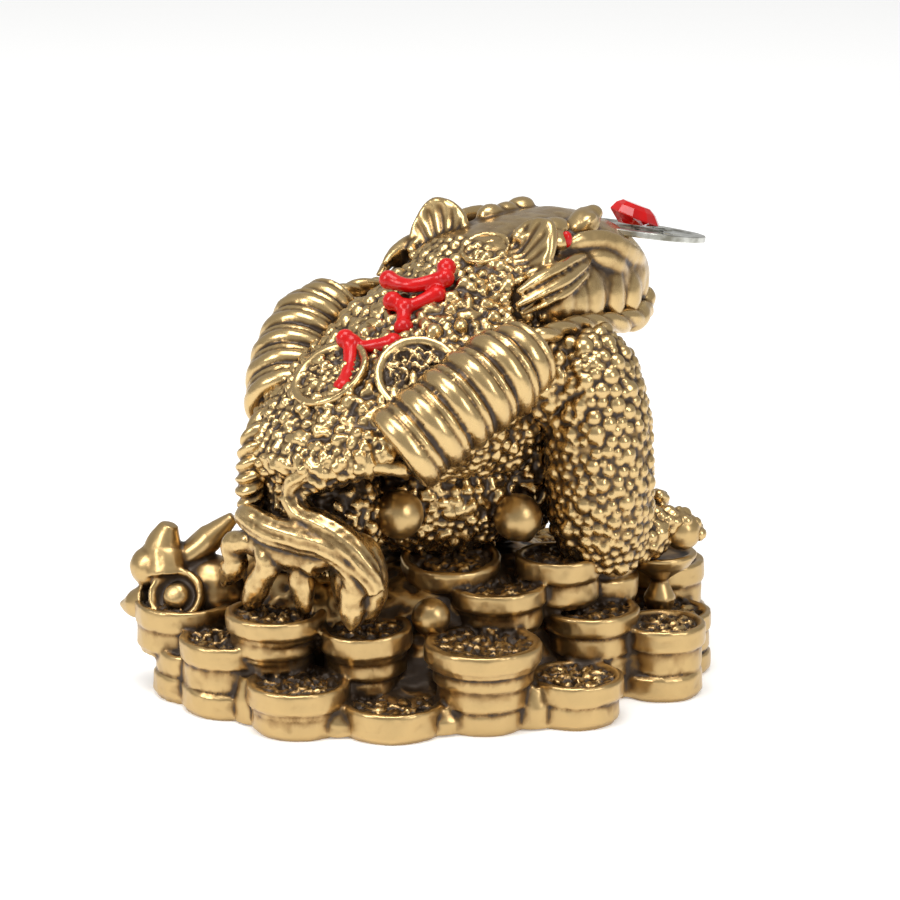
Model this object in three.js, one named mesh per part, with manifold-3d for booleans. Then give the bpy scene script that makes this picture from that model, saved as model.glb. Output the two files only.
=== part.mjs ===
// Money toad figure: a three-legged toad on a heap of coins, one resin casting,
// with a thin metal coin in its mouth and a red gem on the coin.
// Millimetres, +Z up. The toad looks along -Y, its right side is -X.
// The origin is the middle of the heap's flat underside.
import * as THREE from 'three';
import { mergeVertices } from 'three/addons/utils/BufferGeometryUtils.js';
import Module from 'manifold-3d';

const wasm = await Module();
wasm.setup();

// Driving dimensions
const heapWidth = 63;
const heapLength = 74;
const coinThickness = 3.1;
const coinRim = 1.0;
const coinRecess = 0.7;
const ballDiameter = 5.4;
const toadHeight = 40;
const stringCoinDiameter = 11.6;
const ropeDiameter = 3.2;
const markRaise = 0.7;
const mouthCoinDiameter = 19;
const mouthCoinThickness = 0.8;
const mouthCoinHole = 4;
const mouthCoinPitch = 11;
const gemDiameter = 6.8;
const gemHeight = 2.6;
const clearance = 0.3;
const finestEdge = 0.7;

const halfWidth = heapWidth / 2;
const halfLength = heapLength / 2;
const seat = 6.4 * coinThickness;
const roundSides = 10;
const shownSides = 12;
const hiddenSides = 7;

// Every point on the toad is given for a toad forty millimetres tall, above its seat
const designHeight = 40;
const designSeat = 20;
const k = toadHeight / designHeight;
const at = (x, y, z) => new THREE.Vector3(x * k, y * k, seat + (z - designSeat) * k);
// Every point on the heap is given for the design heap, with its height in coins
const designHalfWidth = 31.5;
const designHalfLength = 37;
const onHeap = (x, y, coins) => new THREE.Vector3(
  x / designHalfWidth * halfWidth, y / designHalfLength * halfLength, coins * coinThickness);

// Solids and joins

function solid(geometry) {
  const bare = geometry.clone();
  bare.deleteAttribute('normal');
  bare.deleteAttribute('uv');
  const merged = mergeVertices(bare, 1e-4);
  const place = merged.getAttribute('position');
  const index = merged.getIndex();
  const triangles = [];
  let volume = 0;
  const corner = [new THREE.Vector3(), new THREE.Vector3(), new THREE.Vector3()];
  for (let i = 0; i < index.count; i += 3) {
    const ids = [index.getX(i), index.getX(i + 1), index.getX(i + 2)];
    if (ids[0] === ids[1] || ids[1] === ids[2] || ids[0] === ids[2]) continue;
    triangles.push(...ids);
    ids.forEach((id, n) => corner[n].fromBufferAttribute(place, id));
    volume += corner[0].dot(corner[1].clone().cross(corner[2]));
  }
  if (volume < 0) {
    for (let i = 0; i < triangles.length; i += 3) {
      [triangles[i], triangles[i + 1]] = [triangles[i + 1], triangles[i]];
    }
  }
  return new wasm.Manifold(new wasm.Mesh({
    numProp: 3,
    vertProperties: new Float32Array(place.array),
    triVerts: new Uint32Array(triangles),
  }));
}

function joinAll(solids) {
  let level = solids;
  while (level.length > 1) {
    const next = [];
    for (let i = 0; i < level.length; i += 2) {
      next.push(i + 1 < level.length ? level[i].add(level[i + 1]) : level[i]);
    }
    level = next;
  }
  return level[0];
}

// Forms that cross leave slivers along their seams. This draws the two ends of each edge shorter
// than finest together, where the surface stays closed, the underside flat and no face turns over.
function closeSeams(body, finest) {
  const mesh = body.getMesh();
  const points = [];
  for (let i = 0; i < mesh.vertProperties.length; i += 3) {
    points.push(new THREE.Vector3().fromArray(mesh.vertProperties, i));
  }
  const faces = [];
  for (let i = 0; i < mesh.triVerts.length; i += 3) faces.push(Array.from(mesh.triVerts.slice(i, i + 3)));
  const facesAt = points.map(() => new Set());
  faces.forEach((face, n) => face.forEach((p) => facesAt[p].add(n)));

  const across = (face) => {
    const [a, b, c] = face.map((p) => points[p]);
    return b.clone().sub(a).cross(c.clone().sub(a)).multiplyScalar(0.5);
  };
  const around = (p) => new Set([...facesAt[p]].flatMap((n) => faces[n]).filter((q) => q !== p));
  const flat = (p) => Math.abs(points[p].z) < 1e-4;

  function canMove(from, to) {
    if (flat(from) && !flat(to)) return false;
    const beside = around(to);
    if ([...around(from)].filter((p) => beside.has(p)).length !== 2) return false;
    return [...facesAt[from]].every((n) => {
      if (faces[n].includes(to)) return true;
      const before = across(faces[n]);
      const after = across(faces[n].map((p) => (p === from ? to : p)));
      return after.length() > 1e-3 && after.dot(before) > 0.6 * after.length() * before.length();
    });
  }

  function move(from, to) {
    for (const n of [...facesAt[from]]) {
      if (faces[n].includes(to)) {
        faces[n].forEach((p) => facesAt[p].delete(n));
        faces[n] = null;
      } else {
        faces[n] = faces[n].map((p) => (p === from ? to : p));
        facesAt[to].add(n);
      }
    }
    facesAt[from].clear();
  }

  for (let pass = 0; pass < 4; pass += 1) {
    const edges = faces.filter(Boolean).flatMap(([a, b, c]) => [[a, b], [b, c], [c, a]])
      .filter(([a, b]) => a < b).map(([a, b]) => [points[a].distanceTo(points[b]), a, b])
      .filter(([length]) => length < finest).sort((one, other) => one[0] - other[0]);
    for (const [, a, b] of edges) {
      if (!around(a).has(b)) continue;
      if (canMove(a, b)) move(a, b);
      else if (canMove(b, a)) move(b, a);
    }
  }
  return new wasm.Manifold(new wasm.Mesh({
    numProp: 3,
    vertProperties: new Float32Array(points.flatMap((p) => p.toArray())),
    triVerts: new Uint32Array(faces.filter(Boolean).flat()),
  }));
}

function namedMesh(name, body, look) {
  const mesh = body.getMesh();
  const geometry = new THREE.BufferGeometry();
  geometry.setAttribute('position', new THREE.BufferAttribute(mesh.vertProperties.slice(), 3));
  geometry.setIndex(new THREE.BufferAttribute(mesh.triVerts.slice(), 1));
  geometry.computeVertexNormals();
  const part = new THREE.Mesh(geometry, new THREE.MeshStandardMaterial(look));
  part.name = name;
  return part;
}

// Basic forms

// A rounded lump: a sphere stretched to its half sizes, turned, and moved
function lump(middle, half, turn = [0, 0, 0], sides = 8, rows = 5) {
  const geometry = new THREE.SphereGeometry(1, sides, rows);
  geometry.rotateX(Math.PI / 2);
  geometry.scale(half[0], half[1], half[2]);
  geometry.rotateX(THREE.MathUtils.degToRad(turn[0]));
  geometry.rotateY(THREE.MathUtils.degToRad(turn[1]));
  geometry.rotateZ(THREE.MathUtils.degToRad(turn[2]));
  geometry.translate(middle.x, middle.y, middle.z);
  return solid(geometry);
}

const toadLump = (place, half, turn, sides, rows) =>
  lump(at(...place), half.map((v) => v * k), turn, sides, rows);

// A tapering limb: rings across a smooth curve, each with its half width and half depth.
// across gives the direction of the half width; strands and twist make it a rope.
function limb(points, sizes, { across = new THREE.Vector3(1, 0, 0), sides = 10, steps = 8,
  strands = 0, twist = 0, groove = 0 } = {}) {
  const curve = new THREE.CatmullRomCurve3(points);
  const position = [];
  const index = [];
  const sizeAt = (t) => {
    const f = t * (sizes.length - 1);
    const i = Math.min(Math.floor(f), sizes.length - 2);
    return [0, 1].map((n) => THREE.MathUtils.lerp(sizes[i][n], sizes[i + 1][n], f - i));
  };
  for (let row = 0; row <= steps; row += 1) {
    const t = row / steps;
    const middle = curve.getPoint(t);
    const along = curve.getTangent(t);
    const side = across.clone().addScaledVector(along, -across.dot(along)).normalize();
    const over = along.clone().cross(side);
    const [half, depth] = sizeAt(t);
    for (let n = 0; n < sides; n += 1) {
      const angle = n / sides * 2 * Math.PI;
      const wave = strands ? 1 + groove * Math.cos(strands * angle - twist * t * 2 * Math.PI) : 1;
      const point = middle.clone()
        .addScaledVector(side, half * wave * Math.cos(angle))
        .addScaledVector(over, depth * wave * Math.sin(angle));
      position.push(point.x, point.y, point.z);
    }
  }
  for (const t of [0, 1]) {
    const middle = curve.getPoint(t);
    position.push(middle.x, middle.y, middle.z);
  }
  const ring = (row, n) => row * sides + n % sides;
  const first = (steps + 1) * sides;
  for (let n = 0; n < sides; n += 1) {
    index.push(first, ring(0, n + 1), ring(0, n));
    index.push(first + 1, ring(steps, n), ring(steps, n + 1));
    for (let row = 0; row < steps; row += 1) {
      index.push(ring(row, n), ring(row, n + 1), ring(row + 1, n + 1));
      index.push(ring(row, n), ring(row + 1, n + 1), ring(row + 1, n));
    }
  }
  const geometry = new THREE.BufferGeometry();
  geometry.setAttribute('position', new THREE.Float32BufferAttribute(position, 3));
  geometry.setIndex(index);
  return solid(geometry);
}

const pair = (size) => (Array.isArray(size) ? size : [size, size]);
const toadLimb = (points, sizes, options) =>
  limb(points.map((p) => at(...p)), sizes.map((size) => pair(size).map((v) => v * k)), options);

// A turned form standing on Z, from a profile of [radius, height] pairs
function turned(profile, sides = roundSides) {
  const geometry = new THREE.LatheGeometry(profile.map(([r, z]) => new THREE.Vector2(r, z)), sides);
  geometry.rotateX(Math.PI / 2);
  return geometry;
}

// The profile of a coin's upper face: its rim and its sunk field
const coinFace = (radius, top) => [
  [radius - coinRim, top], [radius - 1.3 * coinRim, top - coinRecess], [0, top - coinRecess]];

// Coins lying on each other, from the lowest radius up: each steps in or out from the one below
function pile(radii, thickness, sides) {
  const profile = [[0, 0]];
  radii.forEach((radius, n) => profile.push([radius, n * thickness], [radius, (n + 1) * thickness]));
  profile.push(...coinFace(radii[radii.length - 1], radii.length * thickness));
  return turned(profile, sides);
}

function leaned(geometry, lean, toward, place) {
  const axis = new THREE.Vector3(-Math.sin(toward), Math.cos(toward), 0);
  const turn = new THREE.Quaternion().setFromAxisAngle(axis, THREE.MathUtils.degToRad(lean));
  geometry.applyQuaternion(turn);
  geometry.translate(place.x, place.y, place.z);
  return geometry;
}

// The heap of coins

// Each pile: its middle, the height in coins that it starts at, and its coins' radii from below.
// thick is a coin's share of the common thickness; lean tips the pile towards a direction.
const shownPiles = [
  { x: 14.9, y: 25.9, from: 0, radii: [6.1, 5.7] },
  { x: 18.4, y: 25.5, from: 1.7, radii: [5.9, 6.3] },
  { x: 8.2, y: 27.0, from: 0, radii: [6.3, 5.9, 6.3] },
  { x: -4.0, y: 26.9, from: 0, radii: [5.7, 6.3] },
  { x: 2.5, y: 24.5, from: 1.7, radii: [4.7, 5.4, 6.3], thick: 0.86 },
  { x: -12.6, y: 19.1, from: 0, radii: [6.4], thick: 1.24 },
  { x: -6.2, y: 17.1, from: 0.8, radii: [4.8, 5.2, 5.8], lean: 3, toward: 100 },
  { x: -19.0, y: 9.8, from: 0, radii: [5.4, 5.8, 6.3, 7.3], thick: 0.87 },
  { x: -25.3, y: -0.2, from: 0, radii: [5.6, 6.0], thick: 0.92 },
  { x: -19.4, y: -9.2, from: 0, radii: [5.4, 5.8, 5.5, 6.1], thick: 0.9 },
  { x: -26.0, y: -15.6, from: 0, radii: [5.2, 4.9, 5.3] },
  { x: -20.1, y: -22.9, from: 0, radii: [5.6, 5.2, 5.6], thick: 0.86 },
  { x: -13.7, y: -28.6, from: 0, radii: [5.3, 5.7, 5.2, 5.6] },
  { x: -13.2, y: 1.4, from: 3.1, radii: [5.7, 6.2], thick: 0.9 },
  { x: -6.2, y: 2.6, from: 3.8, radii: [5.8, 6.3], lean: 8, toward: 135 },
  { x: -15.6, y: -7.2, from: 3.75, radii: [5.1, 5.5] },
  { x: -15.6, y: -14.8, from: 2.4, radii: [4.4, 4.9, 4.6], thick: 1.04 },
];
const hiddenPiles = [
  { x: 23.0, y: 16.2, from: 0, radii: [6.1, 5.7] },
  { x: 25.4, y: 5.0, from: 0, radii: [5.9, 5.6] },
  { x: 25.2, y: -6.6, from: 0, radii: [6.0, 5.6] },
  { x: 22.2, y: -17.4, from: 0, radii: [5.8, 6.1] },
  { x: 15.4, y: -26.4, from: 0, radii: [6.1, 5.8] },
  { x: 4.9, y: -31.0, from: 0, radii: [6.1, 5.8] },
  { x: -5.2, y: -30.8, from: 0, radii: [6.1, 5.7] },
  { x: 17.6, y: 12.6, from: 1.4, radii: [5.6, 6.0] },
  { x: 17.8, y: 0.0, from: 2.2, radii: [5.5, 5.9] },
  { x: 8.8, y: -21.6, from: 2.2, radii: [5.6, 6.0] },
  { x: -2.4, y: -20.6, from: 2.6, radii: [5.3, 5.8] },
];

function coinPile({ x, y, from, radii, lean = 0, toward = 0, thick = 1 }, sides) {
  const geometry = pile(radii, thick * coinThickness, sides);
  return solid(leaned(geometry, lean, THREE.MathUtils.degToRad(toward), onHeap(x, y, from)));
}

// The mound that fills the heap between and behind its coins
function mound() {
  const profile = [[0, 0], [0.76, 0], [0.76, 0.8], [0.62, 1.5], [0.55, 2.6], [0.48, 3.7], [0.42, 4.65],
    [0.30, 5.3], [0, 5.5]];
  const geometry = turned(profile.map(([share, coins]) => [share, coins * coinThickness]), 12);
  geometry.scale(halfWidth, halfLength, 1);
  const middle = onHeap(0.5, -2.5, 0);
  geometry.translate(middle.x, middle.y, 0);
  return solid(geometry);
}

const balls = [[-6.8, 12.2, 8.06], [-13.2, -2.3, 7.4], [-11.2, 11.0, 4.0], [-22.0, -23.2, 6.05]];
const ballShares = [1.14, 1.14, 0.9, 0.92];

function heapBalls() {
  return balls.map((place, n) => {
    const radius = ballDiameter / 2 * ballShares[n];
    return lump(onHeap(...place), [radius, radius, radius], [0, 0, 0], 8, 6);
  });
}

// Lumps that carry the balls from behind and fill the heap under the legs and the rump
function rests() {
  return [
    lump(onHeap(-4.7, 10.1, 7.75), [2.9, 2.9, 2.9], [0, 0, 0], 7, 5),
    lump(onHeap(-11.0, -4.6, 7.1), [3.0, 3.0, 3.0], [0, 0, 0], 7, 5),
    lump(onHeap(-10.3, 9.8, 2.2), [4.3, 4.2, 4.6], [0, 0, 0], 7, 4),
    lump(onHeap(16.4, -12.6, 4.8), [6.2, 5.6, 5.8], [0, 0, 0], 7, 4),
    lump(onHeap(5.6, 17.6, 3.4), [9.0, 6.4, 6.4], [0, 0, 0], 8, 5),
    lump(onHeap(10.8, 18.6, 5.6), [3.6, 3.6, 5.4], [0, 0, 0], 7, 5),
  ];
}

// Ingots: a boat-shaped one seen end on with its sphere and horn, and a dish under the right foot

function cupIngot(place, radius, turn) {
  const profile = [[0, -0.9], [0.55, -0.8], [0.95, -0.1], [1, 0.25], [0.84, 0.3], [0.62, 0],
    [0.5, 0.05], [0.36, 0.34], [0, 0.45]];
  const geometry = turned(profile.map(([r, z]) => [r * radius, z * radius]), 12);
  geometry.scale(1, 0.92, 1);
  geometry.rotateX(THREE.MathUtils.degToRad(turn[0]));
  geometry.rotateZ(THREE.MathUtils.degToRad(turn[1]));
  geometry.translate(place.x, place.y, place.z);
  return solid(geometry);
}

function dishIngot(place) {
  const profile = [[0, -8.6], [1.4, -8], [2.1, -5.8], [1.0, -3.4], [3.8, -1.4], [4.8, 0.2],
    [3.9, 0.4], [3.2, -0.3], [0, -0.4]];
  const geometry = turned(profile, 9);
  geometry.translate(place.x, place.y, place.z);
  return solid(geometry);
}

function ingots() {
  const up = new THREE.Vector3(0, 0, 1);
  return [
    cupIngot(onHeap(17.4, 27.4, 4.0), 3.8, [-62, 20]),
    lump(onHeap(22.8, 27.0, 4.9), [2.9, 2.9, 2.7]),
    limb([onHeap(20.6, 26.6, 4.6), onHeap(21.6, 26.0, 5.7), onHeap(20.9, 25.6, 6.7)],
      [[3.4, 3.0], [2.9, 2.4], [1.2, 1.0]], { sides: 7, steps: 3 }),
    limb([onHeap(22.4, 27.8, 3.5), onHeap(24.6, 28.6, 3.25), onHeap(26.6, 29.2, 3.2)],
      [[2.4, 2.4], [1.8, 1.9], [0.3, 0.4]], { across: up, sides: 6, steps: 2 }),
    limb([onHeap(19.6, 24.2, 5.3), onHeap(17.6, 21.8, 6.1), onHeap(15.4, 19.6, 7.0)],
      [[1.6, 2.2], [1.8, 2.4], [0.8, 1.0]], { across: up, sides: 6, steps: 3 }),
    lump(onHeap(17.4, 22.0, 3.9), [5.0, 4.8, 4.6], [0, 0, 20], 7, 5),
    dishIngot(onHeap(-19.2, -22.3, 4.95)),
  ];
}

// The toad

const mirrored = (place) => [-place[0], place[1], place[2]];
const bothSides = (make) => [...make((p) => p, 1), ...make(mirrored, -1)];

function body() {
  return joinAll([
    toadLimb(
      [[0, 24.8, 30.8], [0, 20, 34.0], [0, 13, 36.8], [0, 5, 37.6], [0, -3, 38.2], [0, -10, 38.6],
        [0, -16, 38.5]],
      [[5, 2.6], [11, 4.0], [13.8, 7.0], [15.2, 11.2], [15.2, 14.6], [13.4, 14.6], [8, 9]],
      { sides: 14, steps: 10 }),
    toadLump([5.4, 17.6, 29.6], [5.4, 6.0, 7.8], [0, 0, 0], 8, 6),
    toadLump([0, -2, 25], [11, 13, 9], [0, 0, 0], 9, 5),
    toadLump([0, -8.6, 27], [13.6, 8.2, 11], [0, 0, 0], 10, 6),
    toadLump([2.4, 16.4, 24], [8.4, 6.6, 9], [0, 0, 0], 9, 5),
  ]);
}

// The head is a wide dome that falls away to the muzzle
function head() {
  return joinAll([
    toadLimb(
      [[0, -2, 46], [0, -9, 48], [0, -16, 48.9], [0, -23, 49.1], [0, -29, 48.4], [0, -33, 47.6],
        [0, -35.2, 47]],
      [[9, 5], [12.6, 8.2], [12.9, 8.6], [11.8, 8.4], [9.9, 7.0], [7.0, 4.8], [2.2, 1.4]],
      { sides: 14, steps: 9 }),
    toadLump([0, -27.5, 44.6], [9.4, 7.4, 4.6], [8, 0, 0], 8, 4),
  ]);
}

// Brow and nose lumps, eyes with their pupils, cheek folds and the ears
function faceParts() {
  const noseAndBrows = [
    toadLump([-6.6, -20.8, 56.6], [2.2, 3.0, 1.9], [-22, 8, 16], 8, 6),
    toadLump([-6.4, -22.6, 57.6], [1.4, 1.6, 1.2], [-20, 0, 0], 6, 4),
    toadLump([-7.2, -14.6, 57.0], [1.9, 2.6, 1.5], [0, 14, 12], 6, 5),
    toadLump([-5.8, -11.4, 56.4], [1.9, 2.5, 1.5], [0, 0, 20], 6, 4),
    toadLump([5.6, -21.8, 56.6], [1.9, 2.2, 1.6], [-22, -8, -16], 8, 6),
    toadLump([4.8, -15.6, 56.9], [1.6, 2.0, 1.5], [0, 0, 0], 6, 5),
    toadLump([4.9, -18.6, 56.8], [1.6, 2.0, 1.4], [0, 0, 0], 6, 4),
  ];
  const sides = bothSides((m, side) => [
    toadLump(m([-9.5, -12.9, 56.0]), [1.55, 1.6, 1.5], [0, 0, 0], 8, 5),
    toadLimb(
      [m([-9.9, -13.6, 54.9]), m([-10.9, -20.0, 55.2]), m([-10.9, -23.6, 53.6]), m([-9.4, -28.2, 51.4]),
        m([-6.4, -32.2, 50.0])],
      [[0.5, 0.7], [0.9, 1.5], [0.9, 1.5], [0.8, 1.2], [0.5, 0.6]], { sides: 6, steps: 6 }),
    toadLimb(
      [m([-10.4, -15.6, 54.0]), m([-11.4, -19.0, 53.3]), m([-11.3, -22.4, 51.6]), m([-10.2, -25.6, 49.6])],
      [[0.4, 0.5], [0.7, 1.2], [0.7, 1.2], [0.4, 0.5]], { sides: 5, steps: 3 }),
    toadLimb(
      [m([-10.4, -6.4, 52.6]), m([-11.0, -9.0, 53.4]), m([-10.6, -13.0, 53.8]), m([-10.0, -16.4, 54.2])],
      [[0.5, 0.6], [0.9, 1.0], [0.9, 1.0], [0.5, 0.5]], { sides: 5, steps: 3 }),
    toadLimb(
      [m([-11.8, -3.4, 50.4]), m([-12.7, -6.4, 51.5]), m([-13.0, -10.4, 52.4]), m([-12.2, -14.6, 53.0]),
        m([-11.4, -16.8, 53.2])],
      [[0.7, 0.9], [1.3, 1.5], [1.5, 1.7], [1.1, 1.3], [0.4, 0.5]], { sides: 6, steps: 5 }),
    toadLump(m([-11.3, -10.8, 48.4]), [2.5, 3.9, 4.4], [0, 0, side * 8], 7, 5),
    toadLump(m([-11.3, -16.8, 48.8]), [2.1, 2.8, 4.0], [0, side * 4, side * 12], 7, 5),
    toadLump(m([-10.8, -21.6, 48.2]), [1.8, 2.1, 3.6], [0, side * 6, side * 20], 6, 4),
    toadLump(m([-9.6, -26.0, 47.8]), [1.9, 2.3, 3.4], [0, side * 8, side * 32], 6, 4),
    toadLump(m([-7.2, -30.2, 47.8]), [1.9, 2.2, 3.0], [0, side * 6, side * 48], 6, 4),
  ]);
  return [...noseAndBrows, ...sides];
}

// Each ear is an upright leaf, hollowed at the back
function ears() {
  return bothSides((m, side) => {
    const blade = toadLump(m([-8.0, -9.6, 54.8]), [4.5, 1.7, 5.1], [26, side * -24, side * -20], 12, 6);
    const inside = toadLump(m([-7.8, -8.3, 55.3]), [3.3, 0.9, 3.8], [26, side * -24, side * -20], 10, 5);
    return [blade.subtract(inside)];
  });
}

function frontLegs() {
  return bothSides((m, side) => [
    toadLimb(
      [m([-17.4, -9.4, 46.0]), m([-18.6, -9.8, 42]), m([-18.9, -10.6, 35]), m([-18.8, -11.2, 28]),
        m([-18.4, -12.0, 21.5]), m([-17.8, -12.8, 16.4])],
      [[2.6, 3.2], [5.0, 5.6], [6.5, 6.6], [6.6, 6.6], [6.2, 6.2], [4.6, 4.6]],
      { sides: 9, steps: 6 }),
    toadLump(m([-14.4, -7.5, 40.5]), [5.6, 6.6, 6.4], [0, 0, 0], 7, 5),
    toadLump(m([-18.4, -17.8, 18.6]), [4.6, 5.2, 3.4], [8, 0, 0], 7, 4),
    ...[-3.4, -0.4, 2.6].map((spread, n) => toadLimb(
      [m([-18.4 + 0.6 * spread, -18.0, 20.2]), m([-18.6 + spread, -22.4, 20.3 - 0.3 * n]),
        m([-18.8 + 1.35 * spread, -25.2, 18.2])],
      [[1.7, 1.6], [1.5, 1.5], [0.9, 0.9]], { sides: 5, steps: 2 })),
    toadLump(m([-18.1, -23.2, 22.0]), [1.1, 1.1, 1.5], [0, 0, 0], 6, 4),
  ]);
}

// The hind leg curls under the rump: a grooved band round the knee, a bar above the foot,
// a long calf sweeping down to the right, and four clawed toes
function hindLeg() {
  const toes = [
    [[4.6, 26.4, 22.2], [7.6, 26.8, 21.0], [7.4, 26.6, 18.8], [11.4, 25.2, 14.6]],
    [[2.6, 26.4, 22.0], [1.4, 26.6, 19.8], [2.8, 26.6, 17.6], [6.2, 26.0, 12.4]],
    [[-5.0, 24.4, 20.2], [-2.8, 24.4, 20.8], [-1.9, 24.2, 18.6], [-1.4, 23.2, 12.2]],
    [[-9.8, 22.4, 19.0], [-9.2, 22.5, 16.4], [-8.7, 22.2, 12.4]],
  ];
  const upright = new THREE.Vector3(0, 0, 1);
  return [
    toadLimb(
      [[-12.6, 16.4, 32.8], [-9.0, 20.2, 33.4], [-5.2, 23.0, 33.2], [-2.5, 24.4, 31.6], [-1.2, 24.5, 29.0],
        [-2.6, 24.6, 26.8], [-5.4, 24.2, 26.0], [-7.8, 23.6, 24.9], [-9.8, 22.9, 23.0], [-11.1, 22.0, 20.6],
        [-11.7, 21.0, 18.0]],
      [[1.1, 1.2], [1.3, 1.5], [1.4, 1.8], [1.4, 2.0], [1.4, 2.0], [1.5, 2.0], [1.7, 2.0], [1.9, 2.1],
        [2.0, 2.1], [1.9, 2.1], [1.5, 1.7]],
      { across: upright, sides: 7, steps: 13 }),
    toadLimb(
      [[6.0, 26.7, 25.3], [4.0, 27.0, 25.2], [0.5, 26.9, 24.4], [-3.4, 25.8, 24.0], [-6.8, 24.6, 23.6],
        [-9.2, 23.4, 21.8], [-9.8, 22.6, 19.0], [-9.4, 22.4, 16.4]],
      [[1.3, 1.2], [1.9, 1.8], [2.0, 1.9], [2.0, 1.9], [1.9, 1.9], [1.8, 1.8], [1.6, 1.6], [1.4, 1.4]],
      { across: upright, sides: 7, steps: 7 }),
    toadLump([0.2, 23.6, 22.0], [7.6, 3.8, 3.4], [0, 0, 12], 8, 4),
    toadLump([-7.6, 19.8, 18.4], [4.0, 3.2, 6.0], [0, 0, 0], 7, 5),
    ...toes.map((points) => toadLimb(points, [[1.3, 1.3], [1.6, 1.6], [1.6, 1.6], [1.4, 1.3], [0.3, 0.3]],
      { across: new THREE.Vector3(0.4, 0.4, 0.8), sides: 5, steps: 4 })),
  ];
}

// A string of coins runs along each flank, then goes on as a twisted rope at both ends
function coinString(m, side) {
  const start = new THREE.Vector3(...m([-17.2, -0.4, 45.2]));
  const middle = new THREE.Vector3(...m([-16.6, 9.4, 41.6]));
  const end = side > 0 ? new THREE.Vector3(-12.0, 17.6, 34.6) : new THREE.Vector3(9.8, 14.8, 35.6);
  const curve = new THREE.QuadraticBezierCurve3(start, middle, end);
  const count = 6;
  const radius = stringCoinDiameter / 2 / k;
  const points = [];
  const sizes = [];
  // Each coin has a narrow ring where it meets the last one, then a wide ring
  const edges = [[0.02, 0.8], [0.38, 1], [0.8, 1]];
  for (let n = 0; n < count; n += 1) {
    for (const [share, width] of edges) {
      const place = curve.getPoint((n + share) / count);
      points.push(place.toArray());
      sizes.push(width * radius * (n === 0 ? 0.84 : 1));
    }
  }
  const upright = new THREE.Vector3(0, 0, 1);
  return [toadLimb(points, sizes, { across: upright, sides: 9, steps: points.length - 1 })];
}

function rope(points, size, turns, steps, sides = 5) {
  const half = ropeDiameter / 2 * size;
  return limb(points.map((p) => at(...p)), [[half, half], [half, half]],
    { sides, steps, strands: 2, twist: turns, groove: 0.22, across: new THREE.Vector3(0.3, 0.2, 1) });
}

function strings() {
  return [
    ...bothSides((m, side) => [
      ...coinString(m, side),
      rope([m([-17.6, -0.6, 47.0]), m([-16.2, -8.4, 46.8]), m([-13.9, -16.0, 45.6]), m([-10.8, -25.0, 44.2]),
        m([-6.4, -32.2, 44.2]), m([-3.0, -34.6, 44.0]), m([0.6, -35.4, 43.9])], 0.85, 2, 7),
      toadLump(m([-9.4, -27.6, 44.0]), [2.1, 3.1, 1.8], [-14, 0, side * 24], 6, 4),
      toadLump(m([-7.0, -31.8, 45.2]), [1.7, 2.0, 1.7], [-24, 0, side * 30], 6, 4),
    ]),
    rope([[9.8, 16.6, 36.0], [7.2, 22.0, 34.4], [6.4, 23.8, 32.2], [6.2, 24.4, 29.4], [7.0, 23.8, 26.6],
      [7.0, 23.4, 23.8]], 0.9, 2, 7),
  ];
}

// Coins stuck to the back and the nape
function backCoin(place, radius, tilt) {
  const geometry = pile([radius * k], 0.8 * coinThickness, 9);
  const out = new THREE.Vector3(...tilt).normalize();
  geometry.translate(0, 0, -0.5 * coinThickness);
  geometry.applyQuaternion(new THREE.Quaternion().setFromUnitVectors(new THREE.Vector3(0, 0, 1), out));
  const seated = at(...place);
  geometry.translate(seated.x, seated.y, seated.z);
  return solid(geometry);
}

function backCoins() {
  return [
    backCoin([-9.9, 11.9, 43.0], 5.4, [-0.5, 0.52, 0.7]),
    backCoin([0.4, 16.6, 42.0], 5.3, [0.02, 0.6, 0.78]),
    backCoin([-2.9, -7.0, 54.8], 3.3, [-0.15, 0.45, 0.9]),
  ];
}

// Red star marks: raised bars with round ends, lying on the spine
const marks = [
  [[2.7, 4.6, 51.2], [1.0, 4.3, 50.9], [-0.9, 3.8, 50.9], [-2.2, 2.1, 51.3], [-3.4, 0.8, 51.8]],
  [[0.1, 6.5, 49.9], [-1.6, 5.9, 49.4], [-2.7, 4.7, 49.8], [-3.7, 2.5, 50.7]],
  [[-1.7, 6.1, 49.3], [-2.6, 7.2, 48.2], [-3.4, 8.0, 47.4]],
  [[1.2, 13.5, 46.1], [-0.1, 12.7, 45.2], [-2.4, 11.8, 45.5], [-4.1, 10.5, 46.0]],
  [[0.4, 13.2, 45.6], [-0.8, 14.6, 43.9], [-2.0, 16.2, 42.6], [-2.8, 17.8, 41.4]],
];

function starMarks() {
  return marks.map((points) => {
    const sizes = [1.25, 0.9, 0.9, 1.25].map((half) => [half, 1.4 * half * markRaise]);
    return toadLimb(points, sizes, { sides: 6, steps: 3 });
  });
}

// The mouth coin is placed by how deep the mouth bites it, in a plane that dips to the front
const mouthBack = at(-1.5, -26.6, 55.35);
const pitch = THREE.MathUtils.degToRad(mouthCoinPitch);
const coinRadius = mouthCoinDiameter / 2;
const coinForward = new THREE.Vector3(0, -Math.cos(pitch), -Math.sin(pitch));
const coinUp = new THREE.Vector3(0, -Math.sin(pitch), Math.cos(pitch));
const coinMiddle = mouthBack.clone().addScaledVector(coinForward, coinRadius);

function inCoinPlane(geometry, lift) {
  geometry.rotateX(pitch);
  const place = coinMiddle.clone().addScaledVector(coinUp, lift);
  geometry.translate(place.x, place.y, place.z);
  return geometry;
}

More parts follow.
